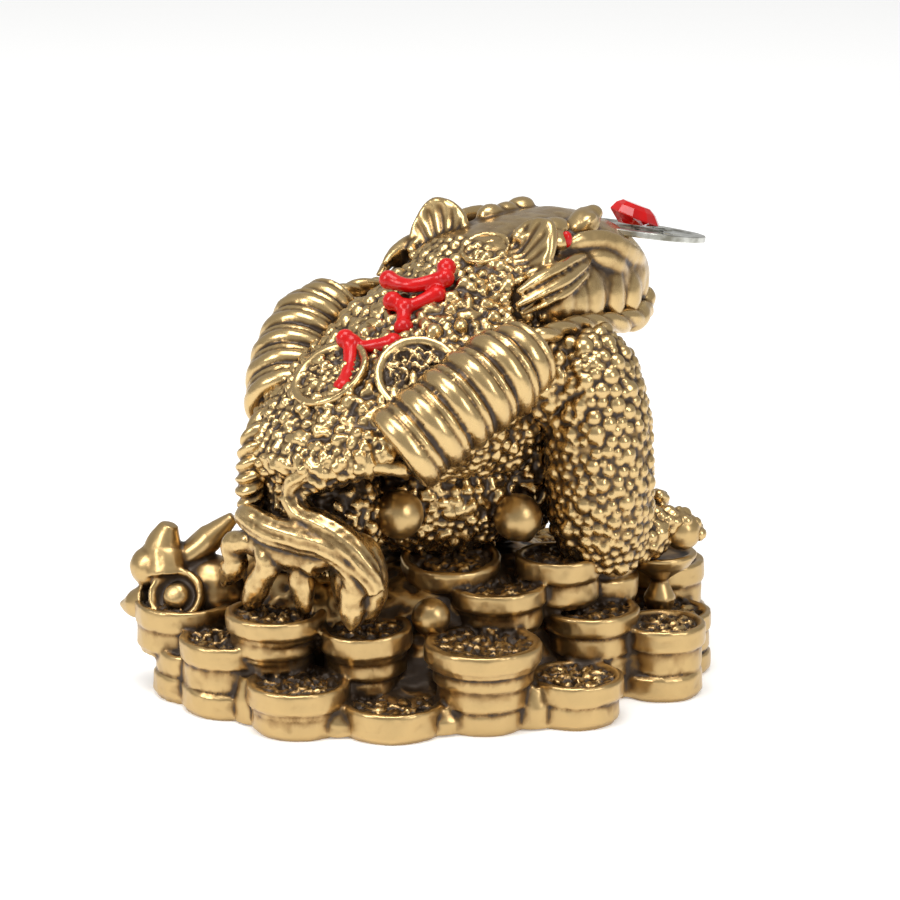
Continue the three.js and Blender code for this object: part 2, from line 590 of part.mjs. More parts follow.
function mouthCoin() {
  const t = mouthCoinThickness;
  const lip = 0.16 * coinRadius;
  const sunk = 0.2 * t;
  const disc = turned([[0, -t + sunk], [coinRadius - lip, -t + sunk], [coinRadius - lip, -t],
    [coinRadius, -t], [coinRadius, 0], [coinRadius - lip, 0], [coinRadius - lip, -sunk], [0, -sunk]], 20);
  const collar = new THREE.BoxGeometry(1.5 * mouthCoinHole, 1.5 * mouthCoinHole, t);
  collar.translate(0, 0, -t / 2);
  const hole = new THREE.BoxGeometry(mouthCoinHole, mouthCoinHole, 3 * t);
  return solid(inCoinPlane(disc, 0))
    .add(solid(inCoinPlane(collar, 0)))
    .subtract(solid(inCoinPlane(hole, 0)));
}

// The gap that the coin lies in, and the room above it where the muzzle is open
function mouthCut() {
  const t = mouthCoinThickness;
  const slot = turned([[0, -t - clearance], [coinRadius + clearance, -t - clearance],
    [coinRadius + clearance, clearance], [0, clearance]], 20);
  const room = turned([[0, 0], [coinRadius - 0.4, 0], [coinRadius + 1.6, 2.2], [coinRadius + 2, 6],
    [0, 6]], 9);
  return solid(inCoinPlane(slot, 0)).add(solid(inCoinPlane(room, 0)).subtract(upperLip()));
}

// The upper lip bridges the coin behind the nose lumps
function upperLip() {
  return toadLump([0, -22.4, 56.2], [13, 8.6, 6], [10, 0, 0], 8, 5);
}

// The gem stands on the coin and leans a little forward
function gem() {
  const sides = 10;
  const radius = gemDiameter / 2;
  const levels = [
    { r: 0.62 * radius, z: 0, tip: 0 },
    { r: radius, z: 0.36 * gemHeight, tip: 13 },
    { r: 0.56 * radius, z: gemHeight, tip: 13 },
  ];
  const position = [];
  const index = [];
  for (const { r, z, tip } of levels) {
    for (let n = 0; n < sides; n += 1) {
      const angle = n / sides * 2 * Math.PI;
      const [x, y] = [r * Math.cos(angle), r * Math.sin(angle)];
      position.push(x, y, z + (x + y) * Math.SQRT1_2 * Math.tan(THREE.MathUtils.degToRad(tip)));
    }
  }
  position.push(0, 0, levels[0].z, 0, 0, levels[2].z);
  const bottom = levels.length * sides;
  for (let n = 0; n < sides; n += 1) {
    const next = (n + 1) % sides;
    index.push(bottom, next, n);
    index.push(bottom + 1, 2 * sides + n, 2 * sides + next);
    for (let row = 0; row < 2; row += 1) {
      index.push(row * sides + n, row * sides + next, (row + 1) * sides + next);
      index.push(row * sides + n, (row + 1) * sides + next, (row + 1) * sides + n);
    }
  }
  const geometry = new THREE.BufferGeometry();
  geometry.setAttribute('position', new THREE.Float32BufferAttribute(position, 3));
  geometry.setIndex(index);
  return solid(inCoinPlane(geometry, clearance));
}

// The casting is cut flat below, where the heap stands
function underside() {
  const geometry = new THREE.BoxGeometry(3 * heapWidth, 3 * heapLength, 20);
  geometry.translate(0, 0, -10);
  return solid(geometry);
}

const casting = joinAll([
  mound(),
  ...rests(),
  ...shownPiles.map((coins) => coinPile(coins, shownSides)),
  ...hiddenPiles.map((coins) => coinPile(coins, hiddenSides)),
  ...heapBalls(),
  ...ingots(),
  body(),
  head(),
  ...faceParts(),
  ...ears(),
  ...frontLegs(),
  ...hindLeg(),
  ...strings(),
  ...backCoins(),
  ...starMarks(),
]).subtract(mouthCut()).subtract(underside());

const gold = { color: 0xa8854a, roughness: 0.42, metalness: 0.75 };
const silver = { color: 0xb9b8ae, roughness: 0.3, metalness: 1 };
const ruby = { color: 0xc81410, roughness: 0.08, metalness: 0 };

const figure = new THREE.Group();
figure.add(namedMesh('toad_on_coin_heap', closeSeams(casting, finestEdge), gold));
figure.add(namedMesh('mouth_coin', mouthCoin(), silver));
figure.add(namedMesh('coin_gem', gem(), ruby));

export default figure;
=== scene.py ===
# Money toad figure: one resin casting with antique gold paint, a loose metal coin and a red gem.
# Points are in millimetres, toad facing -Y, its right side at -X, and become metres when a form is made.
import math
import random
import time
from itertools import product

import bpy
import numpy as np
from mathutils import Euler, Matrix, Quaternion, Vector, noise
from mathutils.bvhtree import BVHTree
from mathutils.kdtree import KDTree


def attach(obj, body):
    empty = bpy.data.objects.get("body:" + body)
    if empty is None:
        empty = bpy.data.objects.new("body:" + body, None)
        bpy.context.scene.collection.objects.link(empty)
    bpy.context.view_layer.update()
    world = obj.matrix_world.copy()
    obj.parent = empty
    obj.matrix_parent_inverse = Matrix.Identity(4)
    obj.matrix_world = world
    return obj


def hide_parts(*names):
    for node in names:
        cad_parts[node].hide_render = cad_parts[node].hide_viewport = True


startTime = time.time()
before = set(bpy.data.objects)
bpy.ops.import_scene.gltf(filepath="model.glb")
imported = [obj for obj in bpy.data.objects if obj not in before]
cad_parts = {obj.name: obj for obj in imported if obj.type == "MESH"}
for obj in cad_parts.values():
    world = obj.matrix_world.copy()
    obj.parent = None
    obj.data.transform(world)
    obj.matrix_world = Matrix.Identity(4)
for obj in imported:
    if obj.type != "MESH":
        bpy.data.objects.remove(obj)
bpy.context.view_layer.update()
mm = 0.001


def report(stage):
    print("%5.1f s  %s" % (time.time() - startTime, stage))


def deselectAll():
    if bpy.context.object and bpy.context.object.mode != "OBJECT":
        bpy.ops.object.mode_set(mode="OBJECT")
    bpy.ops.object.select_all(action="DESELECT")


def activate(piece):
    deselectAll()
    piece.select_set(True)
    bpy.context.view_layer.objects.active = piece


def applyPlace(piece):
    activate(piece)
    bpy.ops.object.transform_apply(location=True, rotation=True, scale=True)


def applyModifier(piece, kind, **values):
    activate(piece)
    modifier = piece.modifiers.new(kind.lower(), kind)
    for key, value in values.items():
        setattr(modifier, key, value)
    bpy.ops.object.modifier_apply(modifier=modifier.name)


def copyOf(model):
    # each copy has a mesh of its own
    piece = model.copy()
    piece.data = model.data.copy()
    bpy.context.scene.collection.objects.link(piece)
    return piece


def selectFaces(piece, wanted):
    # the faces chosen by a test are selected, in edit mode
    activate(piece)
    bpy.ops.object.mode_set(mode="EDIT")
    bpy.ops.mesh.select_mode(type="FACE")
    bpy.ops.mesh.select_all(action="DESELECT")
    bpy.ops.object.mode_set(mode="OBJECT")
    for face in piece.data.polygons:
        face.select = bool(wanted(face))
    bpy.ops.object.mode_set(mode="EDIT")


def joinForms(forms, name):
    deselectAll()
    for form in forms:
        form.select_set(True)
    bpy.context.view_layer.objects.active = forms[0]
    if len(forms) > 1:
        bpy.ops.object.join()
    forms[0].name = name
    forms[0].data.name = name
    return forms[0]


def triangleCount(piece):
    return sum(len(p.vertices) - 2 for p in piece.data.polygons)


# how fine each cast skin is, in millimetres
grain = {"heapFront": 0.29, "heapBack": 0.42, "heapFill": 0.54, "ingots": 0.28, "balls": 0.25, "toadBody": 0.27,
         "toadHead": 0.26, "frontLegs": 0.25, "hindLeg": 0.26, "coinStrings": 0.28, "starMarks": 0.2,
         "redPupils": 0.16}


def castForms(forms, name, smoothing=2):
    # closed forms become one skin, as in a mould, with softened seams
    piece = joinForms(forms, name)
    applyModifier(piece, "REMESH", mode="VOXEL", voxel_size=grain[name] * mm, adaptivity=0.0)
    if smoothing:
        applyModifier(piece, "SMOOTH", factor=0.5, iterations=smoothing)
    return piece


def getPoints(piece):
    values = np.empty(len(piece.data.vertices) * 3)
    piece.data.vertices.foreach_get("co", values)
    return values.reshape(-1, 3) / mm


def setPoints(piece, points):
    piece.data.vertices.foreach_set("co", (points * mm).ravel())
    piece.data.update()


def getNormals(piece):
    values = np.empty(len(piece.data.vertices) * 3, dtype=np.float32)
    piece.data.vertex_normals.foreach_get("vector", values)
    return values.reshape(-1, 3).astype(float)


def getEdges(piece):
    values = np.empty(len(piece.data.edges) * 2, dtype=np.int32)
    piece.data.edges.foreach_get("vertices", values)
    return values.reshape(-1, 2)


def relaxed(values, edges, rounds):
    # each value moves halfway to the mean of its neighbours, in every round
    count = len(values)
    share = np.bincount(edges.ravel(), minlength=count).astype(float)
    share[share == 0] = 1
    columns = values.copy().reshape(count, -1)
    for _ in range(rounds):
        for n in range(columns.shape[1]):
            total = np.bincount(edges[:, 0], columns[edges[:, 1], n], count)
            total += np.bincount(edges[:, 1], columns[edges[:, 0], n], count)
            columns[:, n] = 0.5 * columns[:, n] + 0.5 * total / share
    return columns.reshape(values.shape)


def smoothStep(low, high, values):
    t = np.clip((values - low) / (high - low), 0, 1)
    return t * t * (3 - 2 * t)


def turnOf(turn):
    # turned about X, then Y, then Z, in degrees
    return Euler([math.radians(v) for v in turn], "XYZ")


def lump(place, half, turn=(0, 0, 0), sides=20, shape=None):
    deselectAll()
    bpy.ops.mesh.primitive_uv_sphere_add(segments=sides, ring_count=max(8, int(sides * 0.6)), radius=1)
    piece = bpy.context.object
    if shape:
        for vertex in piece.data.vertices:
            vertex.co = shape(vertex.co)
    piece.scale = Vector(half) * mm
    piece.rotation_euler = turnOf(turn)
    piece.location = Vector(place) * mm
    applyPlace(piece)
    return piece


def curvePoints(points, count):
    # a smooth curve through the points, with its directions
    points = [Vector(p) for p in points]
    ends = [2 * points[0] - points[1]] + points + [2 * points[-1] - points[-2]]
    out = []
    for row in range(count + 1):
        t = row / count * (len(points) - 1)
        n = min(int(t), len(points) - 2)
        f = t - n
        a, b, c, d = ends[n:n + 4]
        second, third = 2 * a - 5 * b + 4 * c - d, 3 * b - a - 3 * c + d
        place = 0.5 * ((2 * b) + (c - a) * f + second * f ** 2 + third * f ** 3)
        along = 0.5 * ((c - a) + 2 * second * f + 3 * third * f ** 2)
        out.append((place, along.normalized()))
    return out


def ringedCylinder(sides, steps):
    # a cylinder of radius and height 1, with rings at equal steps
    deselectAll()
    bpy.ops.mesh.primitive_cylinder_add(vertices=sides, radius=1, depth=1, end_fill_type="TRIFAN")
    piece = bpy.context.object
    bpy.ops.object.mode_set(mode="EDIT")
    bpy.ops.mesh.select_mode(type="EDGE")
    bpy.ops.mesh.select_all(action="DESELECT")
    bpy.ops.object.mode_set(mode="OBJECT")
    corners = piece.data.vertices
    for edge in piece.data.edges:
        edge.select = abs(corners[edge.vertices[0]].co.z - corners[edge.vertices[1]].co.z) > 0.5
    bpy.ops.object.mode_set(mode="EDIT")
    bpy.ops.mesh.subdivide_edgering(number_cuts=steps - 1, interpolation="LINEAR", smoothness=0)
    bpy.ops.object.mode_set(mode="OBJECT")
    return piece


def limb(points, sizes, across=(1, 0, 0), sides=20, steps=24, strands=0, twist=0, groove=0, wave=None):
    # a cylinder with rings, laid along a curve; each size is a half width and half depth
    piece = ringedCylinder(sides, steps)
    curve = curvePoints(points, steps)
    sizes = [s if isinstance(s, (tuple, list)) else (s, s) for s in sizes]
    across = Vector(across)
    for vertex in piece.data.vertices:
        x, y, z = vertex.co
        row = int(round((z + 0.5) * steps))
        place, along = curve[row]
        side = (across - along * across.dot(along)).normalized()
        over = along.cross(side)
        t = row / steps * (len(sizes) - 1)
        n = min(int(t), len(sizes) - 2)
        half = sizes[n][0] + (sizes[n + 1][0] - sizes[n][0]) * (t - n)
        depth = sizes[n][1] + (sizes[n + 1][1] - sizes[n][1]) * (t - n)
        angle = math.atan2(y, x)
        swell = 1
        if strands:
            swell += groove * (abs(math.cos((strands * angle - twist * row / steps * 2 * math.pi) / 2)) - 0.6)
        if wave:
            swell *= wave(row / steps, angle)
        vertex.co = (place + side * (x * half * swell) + over * (y * depth * swell)) * mm
    piece.data.update()
    return piece


def mirrored(place):
    return (-place[0], place[1], place[2])


def bothSides(make):
    # side 1 is the toad's right
    return make(lambda p: tuple(p), 1) + make(mirrored, -1)


heap = {"middle": (0.5, -2.5), "half": (31.5, 37), "coinThickness": 3.1, "coinRadius": 5.8, "rim": 0.95,
        "recess": 0.7, "faces": 4, "gap": 0.4, "waist": 0.5, "web": 3.2, "webOut": 1.0, "seed": 5}

shownPiles = [
    # x, y, the height in coins it starts at, radii from below, share of the thickness, lean, toward
    (14.9, 25.9, 0, (6.1, 5.7), 1, 0, 0),
    (18.4, 25.5, 1.7, (5.9, 6.3), 1, 0, 0),
    (8.2, 27.0, 0, (6.3, 5.9, 6.3), 1, 0, 0),
    (-4.0, 26.9, 0, (5.7, 6.3), 1, 0, 0),
    (2.5, 24.5, 1.7, (4.7, 5.4, 6.3), 0.86, 0, 0),
    (-12.6, 19.1, 0, (6.4,), 1.24, 0, 0),
    (-6.2, 17.1, 0.8, (4.8, 5.2, 5.8), 1, 3, 100),
    (-19.0, 9.8, 0, (5.4, 5.8, 6.3, 7.3), 0.87, 0, 0),
    (-25.3, -0.2, 0, (5.6, 6.0), 0.92, 0, 0),
    (-19.4, -9.2, 0, (5.4, 5.8, 5.5, 6.1), 0.9, 0, 0),
    (-26.0, -15.6, 0, (5.2, 4.9, 5.3), 1, 0, 0),
    (-20.1, -22.9, 0, (5.6, 5.2, 5.6), 0.86, 0, 0),
    (-13.7, -28.6, 0, (5.3, 5.7, 5.2, 5.6), 1, 0, 0),
    (-13.2, 1.4, 3.1, (5.7, 6.2), 0.9, 0, 0),
    (-6.2, 2.6, 3.8, (5.8, 6.3), 1, 8, 135),
    (-15.6, -7.2, 3.75, (5.1, 5.5), 1, 0, 0),
    (-15.6, -14.8, 2.4, (4.4, 4.9, 4.6), 1.04, 0, 0),
]
hiddenPiles = [
    (23.0, 16.2, 0, (6.1, 5.7), 1, 0, 0),
    (25.4, 5.0, 0, (5.9, 5.6), 1, 0, 0),
    (25.2, -6.6, 0, (6.0, 5.6), 1, 0, 0),
    (22.2, -17.4, 0, (5.8, 6.1), 1, 0, 0),
    (15.4, -26.4, 0, (6.1, 5.8), 1, 0, 0),
    (4.9, -31.0, 0, (6.1, 5.8), 1, 0, 0),
    (-5.2, -30.8, 0, (6.1, 5.7), 1, 0, 0),
    (17.6, 12.6, 1.4, (5.6, 6.0), 1, 0, 0),
    (17.8, 0.0, 2.2, (5.5, 5.9), 1, 0, 0),
    (8.8, -21.6, 2.2, (5.6, 6.0), 1, 0, 0),
    (-2.4, -20.6, 2.6, (5.3, 5.8), 1, 0, 0),
]


coinFields = []  # middle, axis and radius of each sunk field, for its relief


def modelCoin(rng, withFace):
    # a disc with an eased edge; the upper one of a pile has a sunk field with a square frame
    # and short strokes round it that spell nothing
    radius, thickness = heap["coinRadius"], heap["coinThickness"]
    deselectAll()
    bpy.ops.mesh.primitive_cylinder_add(vertices=48, radius=radius * mm, depth=thickness * mm,
                                        location=(0, 0, thickness / 2 * mm))
    coin = bpy.context.object
    applyPlace(coin)
    if withFace:
        selectFaces(coin, lambda face: face.normal.z > 0.9)
        bpy.ops.mesh.inset(thickness=heap["rim"] * mm, depth=0)
        bpy.ops.mesh.inset(thickness=0.25 * mm, depth=-heap["recess"] * mm)
        bpy.ops.object.mode_set(mode="OBJECT")
    applyModifier(coin, "BEVEL", width=0.28 * mm, segments=2, limit_method="ANGLE",
                  angle_limit=math.radians(40))
    if not withFace:
        return coin
    bars = []
    for n in range(4):
        angle = math.radians(90 * n)
        bars.append((1.15, angle, math.degrees(angle) + 90, 2.6, 0.55))
        for m in range(3):
            bars.append((rng.uniform(2.3, 3.5), angle + rng.uniform(-0.55, 0.55), rng.choice((0, 45, 90, 135)),
                         rng.uniform(0.8, 1.8), 0.5))
    parts = [coin]
    for away, angle, turn, length, width in bars:
        bar = copyOf(strokeModel)
        bar.scale = (length, width, 0.9)
        bar.rotation_euler = (0, 0, math.radians(turn))
        bar.location = Vector((away * math.cos(angle), away * math.sin(angle), thickness - heap["recess"])) * mm
        applyPlace(bar)
        parts.append(bar)
    return joinForms(parts, "facedCoin")


def placedCoin(rng, radius, thickness, withFace):
    coin = copyOf(rng.choice(facedCoins) if withFace else plainCoin)
    share = radius / heap["coinRadius"]
    coin.rotation_euler = (0, 0, rng.uniform(0, 6.28))
    coin.scale = (share, share, thickness / heap["coinThickness"])
    applyPlace(coin)
    return coin


def pileOfCoins(rng, x, y, start, radii, thick, lean, toward):
    forms = []
    thickness = heap["coinThickness"] * thick
    for n, radius in enumerate(radii):
        last = n == len(radii) - 1
        coin = placedCoin(rng, radius, thickness - heap["gap"], last)
        # under each coin a narrower waist joins it to the one below
        waist = copyOf(plainCoin)
        share = (radius - heap["waist"]) / heap["coinRadius"]
        waist.scale = (share, share, 0.4)
        waist.location = (0, 0, -0.7 * mm)
        applyPlace(waist)
        coin = joinForms([coin, waist], "coin")
        shift = 0 if last else 0.25
        coin.location = Vector((rng.uniform(-shift, shift), rng.uniform(-shift, shift),
                                n * thickness + heap["gap"])) * mm
        if not last:
            coin.rotation_euler = (math.radians(rng.uniform(-1.6, 1.6)), math.radians(rng.uniform(-1.6, 1.6)),
                                   0)
        applyPlace(coin)
        forms.append(coin)
    whole = joinForms(forms, "pile")
    turn = Quaternion((-math.sin(math.radians(toward)), math.cos(math.radians(toward)), 0), math.radians(lean))
    foot = Vector((x, y, start * heap["coinThickness"]))
    whole.rotation_mode = "QUATERNION"
    whole.rotation_quaternion = turn
    whole.location = foot * mm
    applyPlace(whole)
    up = turn @ Vector((0, 0, 1))
    coinFields.append((foot + up * (len(radii) * thickness - heap["recess"]), up,
                       radii[-1] - heap["rim"] - 0.2))
    return whole


def webForms(piles):
    # where two piles stand side by side, a web of resin fuses their sides
    forms = []
    for n, (x, y, start, radii, thick, *_) in enumerate(piles):
        for x2, y2, start2, radii2, thick2, *_ in piles[n + 1:]:
            r, r2 = min(radii), min(radii2)
            gap = math.hypot(x2 - x, y2 - y)
            if gap > r + r2 + 1.6 or gap < 6 or start > 2 or start2 > 2:
                continue
            share = (gap + r - r2) / (2 * gap)
            foot = Vector((x + (x2 - x) * share, y + (y2 - y) * share, 0.2))
            foot += (foot - Vector((*heap["middle"], 0.2))).normalized() * heap["webOut"]
            top = min(start + len(radii) * thick, start2 + len(radii2) * thick2) * heap["coinThickness"] - 0.6
            web = heap["web"]
            forms.append(limb([foot, foot + Vector((0, 0, top))], [web, web, 0.75 * web], sides=24, steps=6))
    return forms


def moundForm():
    # the filled middle of the heap, as shares of the heap's half size at heights counted in coins
    rows = [(0.76, 0), (0.76, 0.8), (0.62, 1.5), (0.55, 2.6), (0.48, 3.7), (0.42, 4.65), (0.30, 5.3)]
    middle, half, step = heap["middle"], heap["half"], heap["coinThickness"]
    deselectAll()
    bpy.ops.mesh.primitive_cylinder_add(vertices=40, radius=1, depth=1, end_fill_type="NGON")
    mound = bpy.context.object
    for vertex in mound.data.vertices:
        share, coins = rows[1] if vertex.co.z > 0 else rows[0]
        side = Vector((vertex.co.x, vertex.co.y)).normalized()
        vertex.co = (side.x * half[0] * share + middle[0], side.y * half[1] * share + middle[1], coins * step)
    selectFaces(mound, lambda face: face.normal.z > 0.9)
    for before, after in zip(rows[1:], rows[2:]):
        rise = (after[1] - before[1]) * step
        bpy.ops.mesh.extrude_region_move(TRANSFORM_OT_translate={"value": (0, 0, rise)})
        bpy.ops.transform.resize(value=(after[0] / before[0],) * 2 + (1,), center_override=(*middle, 0))
    bpy.ops.object.mode_set(mode="OBJECT")
    mound.scale = (mm, mm, mm)
    applyPlace(mound)
    return mound


def restForms():
    # lumps that carry the balls from behind and fill the heap under the legs and the rump
    rests = [((-4.7, 10.1, 24.0), (2.9, 2.9, 2.9)), ((-11.0, -4.6, 22.0), (3.0, 3.0, 3.0)),
             ((-10.3, 9.8, 6.8), (4.3, 4.2, 4.6)), ((16.4, -12.6, 14.9), (6.2, 5.6, 5.8)),
             ((5.6, 17.6, 10.5), (9.0, 6.4, 6.4)), ((10.8, 18.6, 17.4), (3.6, 3.6, 5.4))]
    return [lump(place, half) for place, half in rests]


def bodyForms():
    return [
        limb([(0, 24.8, 30.8), (0, 20, 34.0), (0, 13, 36.8), (0, 5, 37.6), (0, -3, 38.2), (0, -10, 38.6),
              (0, -16, 38.5)],
             [(5, 2.6), (11, 4.0), (13.8, 7.0), (15.2, 11.2), (15.2, 14.6), (13.4, 14.6), (8, 9)], sides=40,
             steps=30),
        lump((5.4, 17.6, 29.6), (5.4, 6.0, 7.8)),
        lump((0, -2, 25), (11, 13, 9)),
        lump((0, -8.6, 27), (13.6, 8.2, 11)),
        lump((2.4, 16.4, 24), (8.4, 6.6, 9)),
        lump((2.8, 20.6, 27.4), (4.0, 3.3, 5.2)),
    ]


def headForms():
    return [
        limb([(0, -2, 46), (0, -9, 48), (0, -16, 48.9), (0, -23, 49.1), (0, -29, 48.4), (0, -33, 47.6),
              (0, -35.2, 47)],
             [(9, 5), (12.6, 8.2), (12.9, 8.6), (11.8, 8.4), (9.9, 7.0), (7.0, 4.8), (2.2, 1.4)], sides=40,
             steps=30),
        lump((0, -27.5, 44.6), (9.4, 7.4, 4.6), (8, 0, 0)),
    ]


def faceForms():
    # the left side repeats the right one
    noseAndBrows = [
        lump((-6.6, -20.8, 56.6), (2.2, 3.0, 1.9), (-22, 8, 16)),
        lump((-6.4, -22.6, 57.6), (1.4, 1.6, 1.2), (-20, 0, 0)),
        lump((-7.9, -20.4, 57.5), (1.0, 1.5, 0.8), (-20, 0, 10)),
        lump((-7.2, -14.6, 57.0), (1.9, 2.6, 1.5), (0, 14, 12)),
        lump((-5.8, -11.4, 56.4), (1.9, 2.5, 1.5), (0, 0, 20)),
        lump((5.6, -21.8, 56.6), (1.9, 2.2, 1.6), (-22, -8, -16)),
        lump((4.8, -15.6, 56.9), (1.6, 2.0, 1.5)),
        lump((4.9, -18.6, 56.8), (1.6, 2.0, 1.4)),
    ]
    return noseAndBrows + bothSides(lambda m, side: [
        # eyes
        lump(m((-9.5, -12.9, 56.0)), (1.55, 1.6, 1.5)),
        lump(m((-4.4, -17.0, 56.6)), (1.7, 2.8, 1.0), (0, 0, side * 10)),
        # two lips that run from under the eye round the muzzle
        limb(map(m, [(-9.9, -13.6, 54.9), (-10.4, -16.6, 55.6), (-10.9, -20.0, 55.2), (-10.9, -23.6, 53.6),
                     (-9.4, -28.2, 51.4), (-6.4, -32.2, 50.0)]),
             [(0.5, 0.7), (0.8, 1.3), (0.9, 1.5), (0.9, 1.5), (0.8, 1.2), (0.5, 0.6)], sides=16, steps=30),
        limb(map(m, [(-10.4, -15.6, 54.0), (-11.4, -19.0, 53.3), (-11.3, -22.4, 51.6), (-10.2, -25.6, 49.6)]),
             [(0.4, 0.5), (0.7, 1.2), (0.7, 1.2), (0.4, 0.5)], sides=16, steps=20),
        # the folds behind the corner of the mouth
        limb(map(m, [(-10.4, -6.4, 52.6), (-11.0, -9.0, 53.4), (-10.6, -13.0, 53.8), (-10.0, -16.4, 54.2)]),
             [(0.5, 0.6), (0.9, 1.0), (0.9, 1.0), (0.5, 0.5)], sides=14, steps=16),
        limb(map(m, [(-11.8, -3.4, 51.3), (-12.5, -6.4, 52.8), (-12.6, -10.4, 53.8), (-11.9, -14.4, 54.2),
                     (-11.2, -16.6, 54.0)]), [(0.5, 0.4), (0.95, 0.6), (1.0, 0.65), (0.7, 0.5), (0.3, 0.3)],
             sides=14, steps=20),
        limb(map(m, [(-12.2, -2.8, 49.8), (-13.2, -6.4, 51.2), (-13.4, -10.4, 52.2), (-12.5, -14.4, 53.0),
                     (-11.5, -16.9, 53.3)]), [(0.6, 0.4), (1.1, 0.65), (1.15, 0.7), (0.8, 0.5), (0.3, 0.3)],
             sides=14, steps=20),
        limb(map(m, [(-11.9, -3.8, 48.5), (-12.9, -6.8, 49.6), (-13.2, -10.6, 50.6), (-12.5, -14.4, 51.7),
                     (-11.7, -16.7, 52.5)]), [(0.5, 0.4), (0.95, 0.6), (1.0, 0.65), (0.7, 0.5), (0.3, 0.3)],
             sides=14, steps=20),
        lump(m((-12.0, -8.6, 51.2)), (0.7, 4.4, 1.5), (12, 0, 0)),
        # cheek and jaw bulges
        lump(m((-11.3, -10.8, 48.4)), (2.5, 3.9, 4.4), (0, 0, side * 8)),
        lump(m((-11.5, -13.7, 48.4)), (2.1, 3.6, 3.9), (0, side * 2, side * 10)),
        lump(m((-11.3, -16.6, 48.8)), (2.1, 3.3, 4.1), (0, side * 4, side * 12)),
        lump(m((-10.7, -21.6, 48.3)), (1.9, 2.7, 3.8), (0, side * 6, side * 20)),
        lump(m((-9.5, -26.0, 47.9)), (1.9, 2.8, 3.6), (0, side * 8, side * 32)),
        lump(m((-7.1, -30.1, 47.9)), (1.9, 2.6, 3.2), (0, side * 6, side * 48)),
    ])


ears = {"middle": (-8.0, -9.6, 54.8), "half": (4.5, 1.8, 5.1), "turn": (26, -24, -20), "ribs": 26,
        "ribHeight": 0.1, "rightHollow": 0.1, "leftHollow": 0.5}


def earShape(side):
    # a leaf that comes to a point above, with a hollow on its rear face
    hollow = ears["rightHollow"] if side > 0 else ears["leftHollow"]

    def shape(v):
        x, y, z = v
        x *= 1 - 0.3 * max(0, z) ** 2
        rho = math.hypot(x / 0.9, (z + 0.04) / 0.92)
        if y > 0 and rho < 1:
            y = y * 0.25 + 0.3 - hollow * (1 - rho ** 3)
        return Vector((x, y, z))
    return shape


def earTurn(side):
    return (ears["turn"][0], side * ears["turn"][1], side * ears["turn"][2])


def earForms():
    return bothSides(lambda m, side: [
        lump(m(ears["middle"]), ears["half"], earTurn(side), 96, earShape(side)),
        limb(map(m, [(-9.6, -7.4, 51.2), (-8.2, -8.2, 52.4), (-7.2, -9.0, 53.6)]), [1.6, 1.5, 0.8], sides=14,
             steps=8),
    ])


def ribEars(head):
    # fine ribs fan out over the hollow from the foot of each ear
    points, normals = getPoints(head), getNormals(head)
    lift = np.zeros(len(points))
    for side in (1, -1):
        middle = np.array(ears["middle"]) * (side, 1, 1)
        local = (points - middle) @ np.array(turnOf(earTurn(side)).to_matrix())
        x, y, z = (local / np.array(ears["half"])).T
        inside = smoothStep(0.95, 0.7, np.hypot(x, z)) * (y > -0.05) * (y < 1)
        lift += ears["ribHeight"] * inside * np.cos(ears["ribs"] * np.arctan2(x, z + 1.1))
    setPoints(head, points + normals * lift[:, None])


def frontLegForms():
    return bothSides(lambda m, side: [
        limb(map(m, [(-17.4, -9.4, 46.0), (-18.6, -9.8, 42), (-18.9, -10.6, 35), (-18.8, -11.2, 28),
                     (-18.4, -12.0, 21.5), (-17.8, -12.8, 16.4)]),
             [(2.6, 3.2), (5.0, 5.6), (6.5, 6.6), (6.6, 6.6), (6.2, 6.2), (4.6, 4.6)], sides=32, steps=24),
        lump(m((-14.4, -7.5, 40.5)), (5.6, 6.6, 6.4)),
        lump(m((-18.4, -17.8, 18.6)), (4.6, 5.2, 3.4), (8, 0, 0)),
    ] + [
        limb(map(m, [(-18.4 + 0.6 * s, -18.0, 20.2), (-18.6 + s, -22.4, 20.3 - 0.3 * n),
                     (-18.8 + 1.35 * s, -25.2, 18.2)]),
             [1.7, 1.5, 0.9], sides=14, steps=10) for n, s in enumerate((-3.4, -0.4, 2.6))
    ] + [lump(m((-18.1, -23.2, 22.0)), (1.1, 1.1, 1.5))])


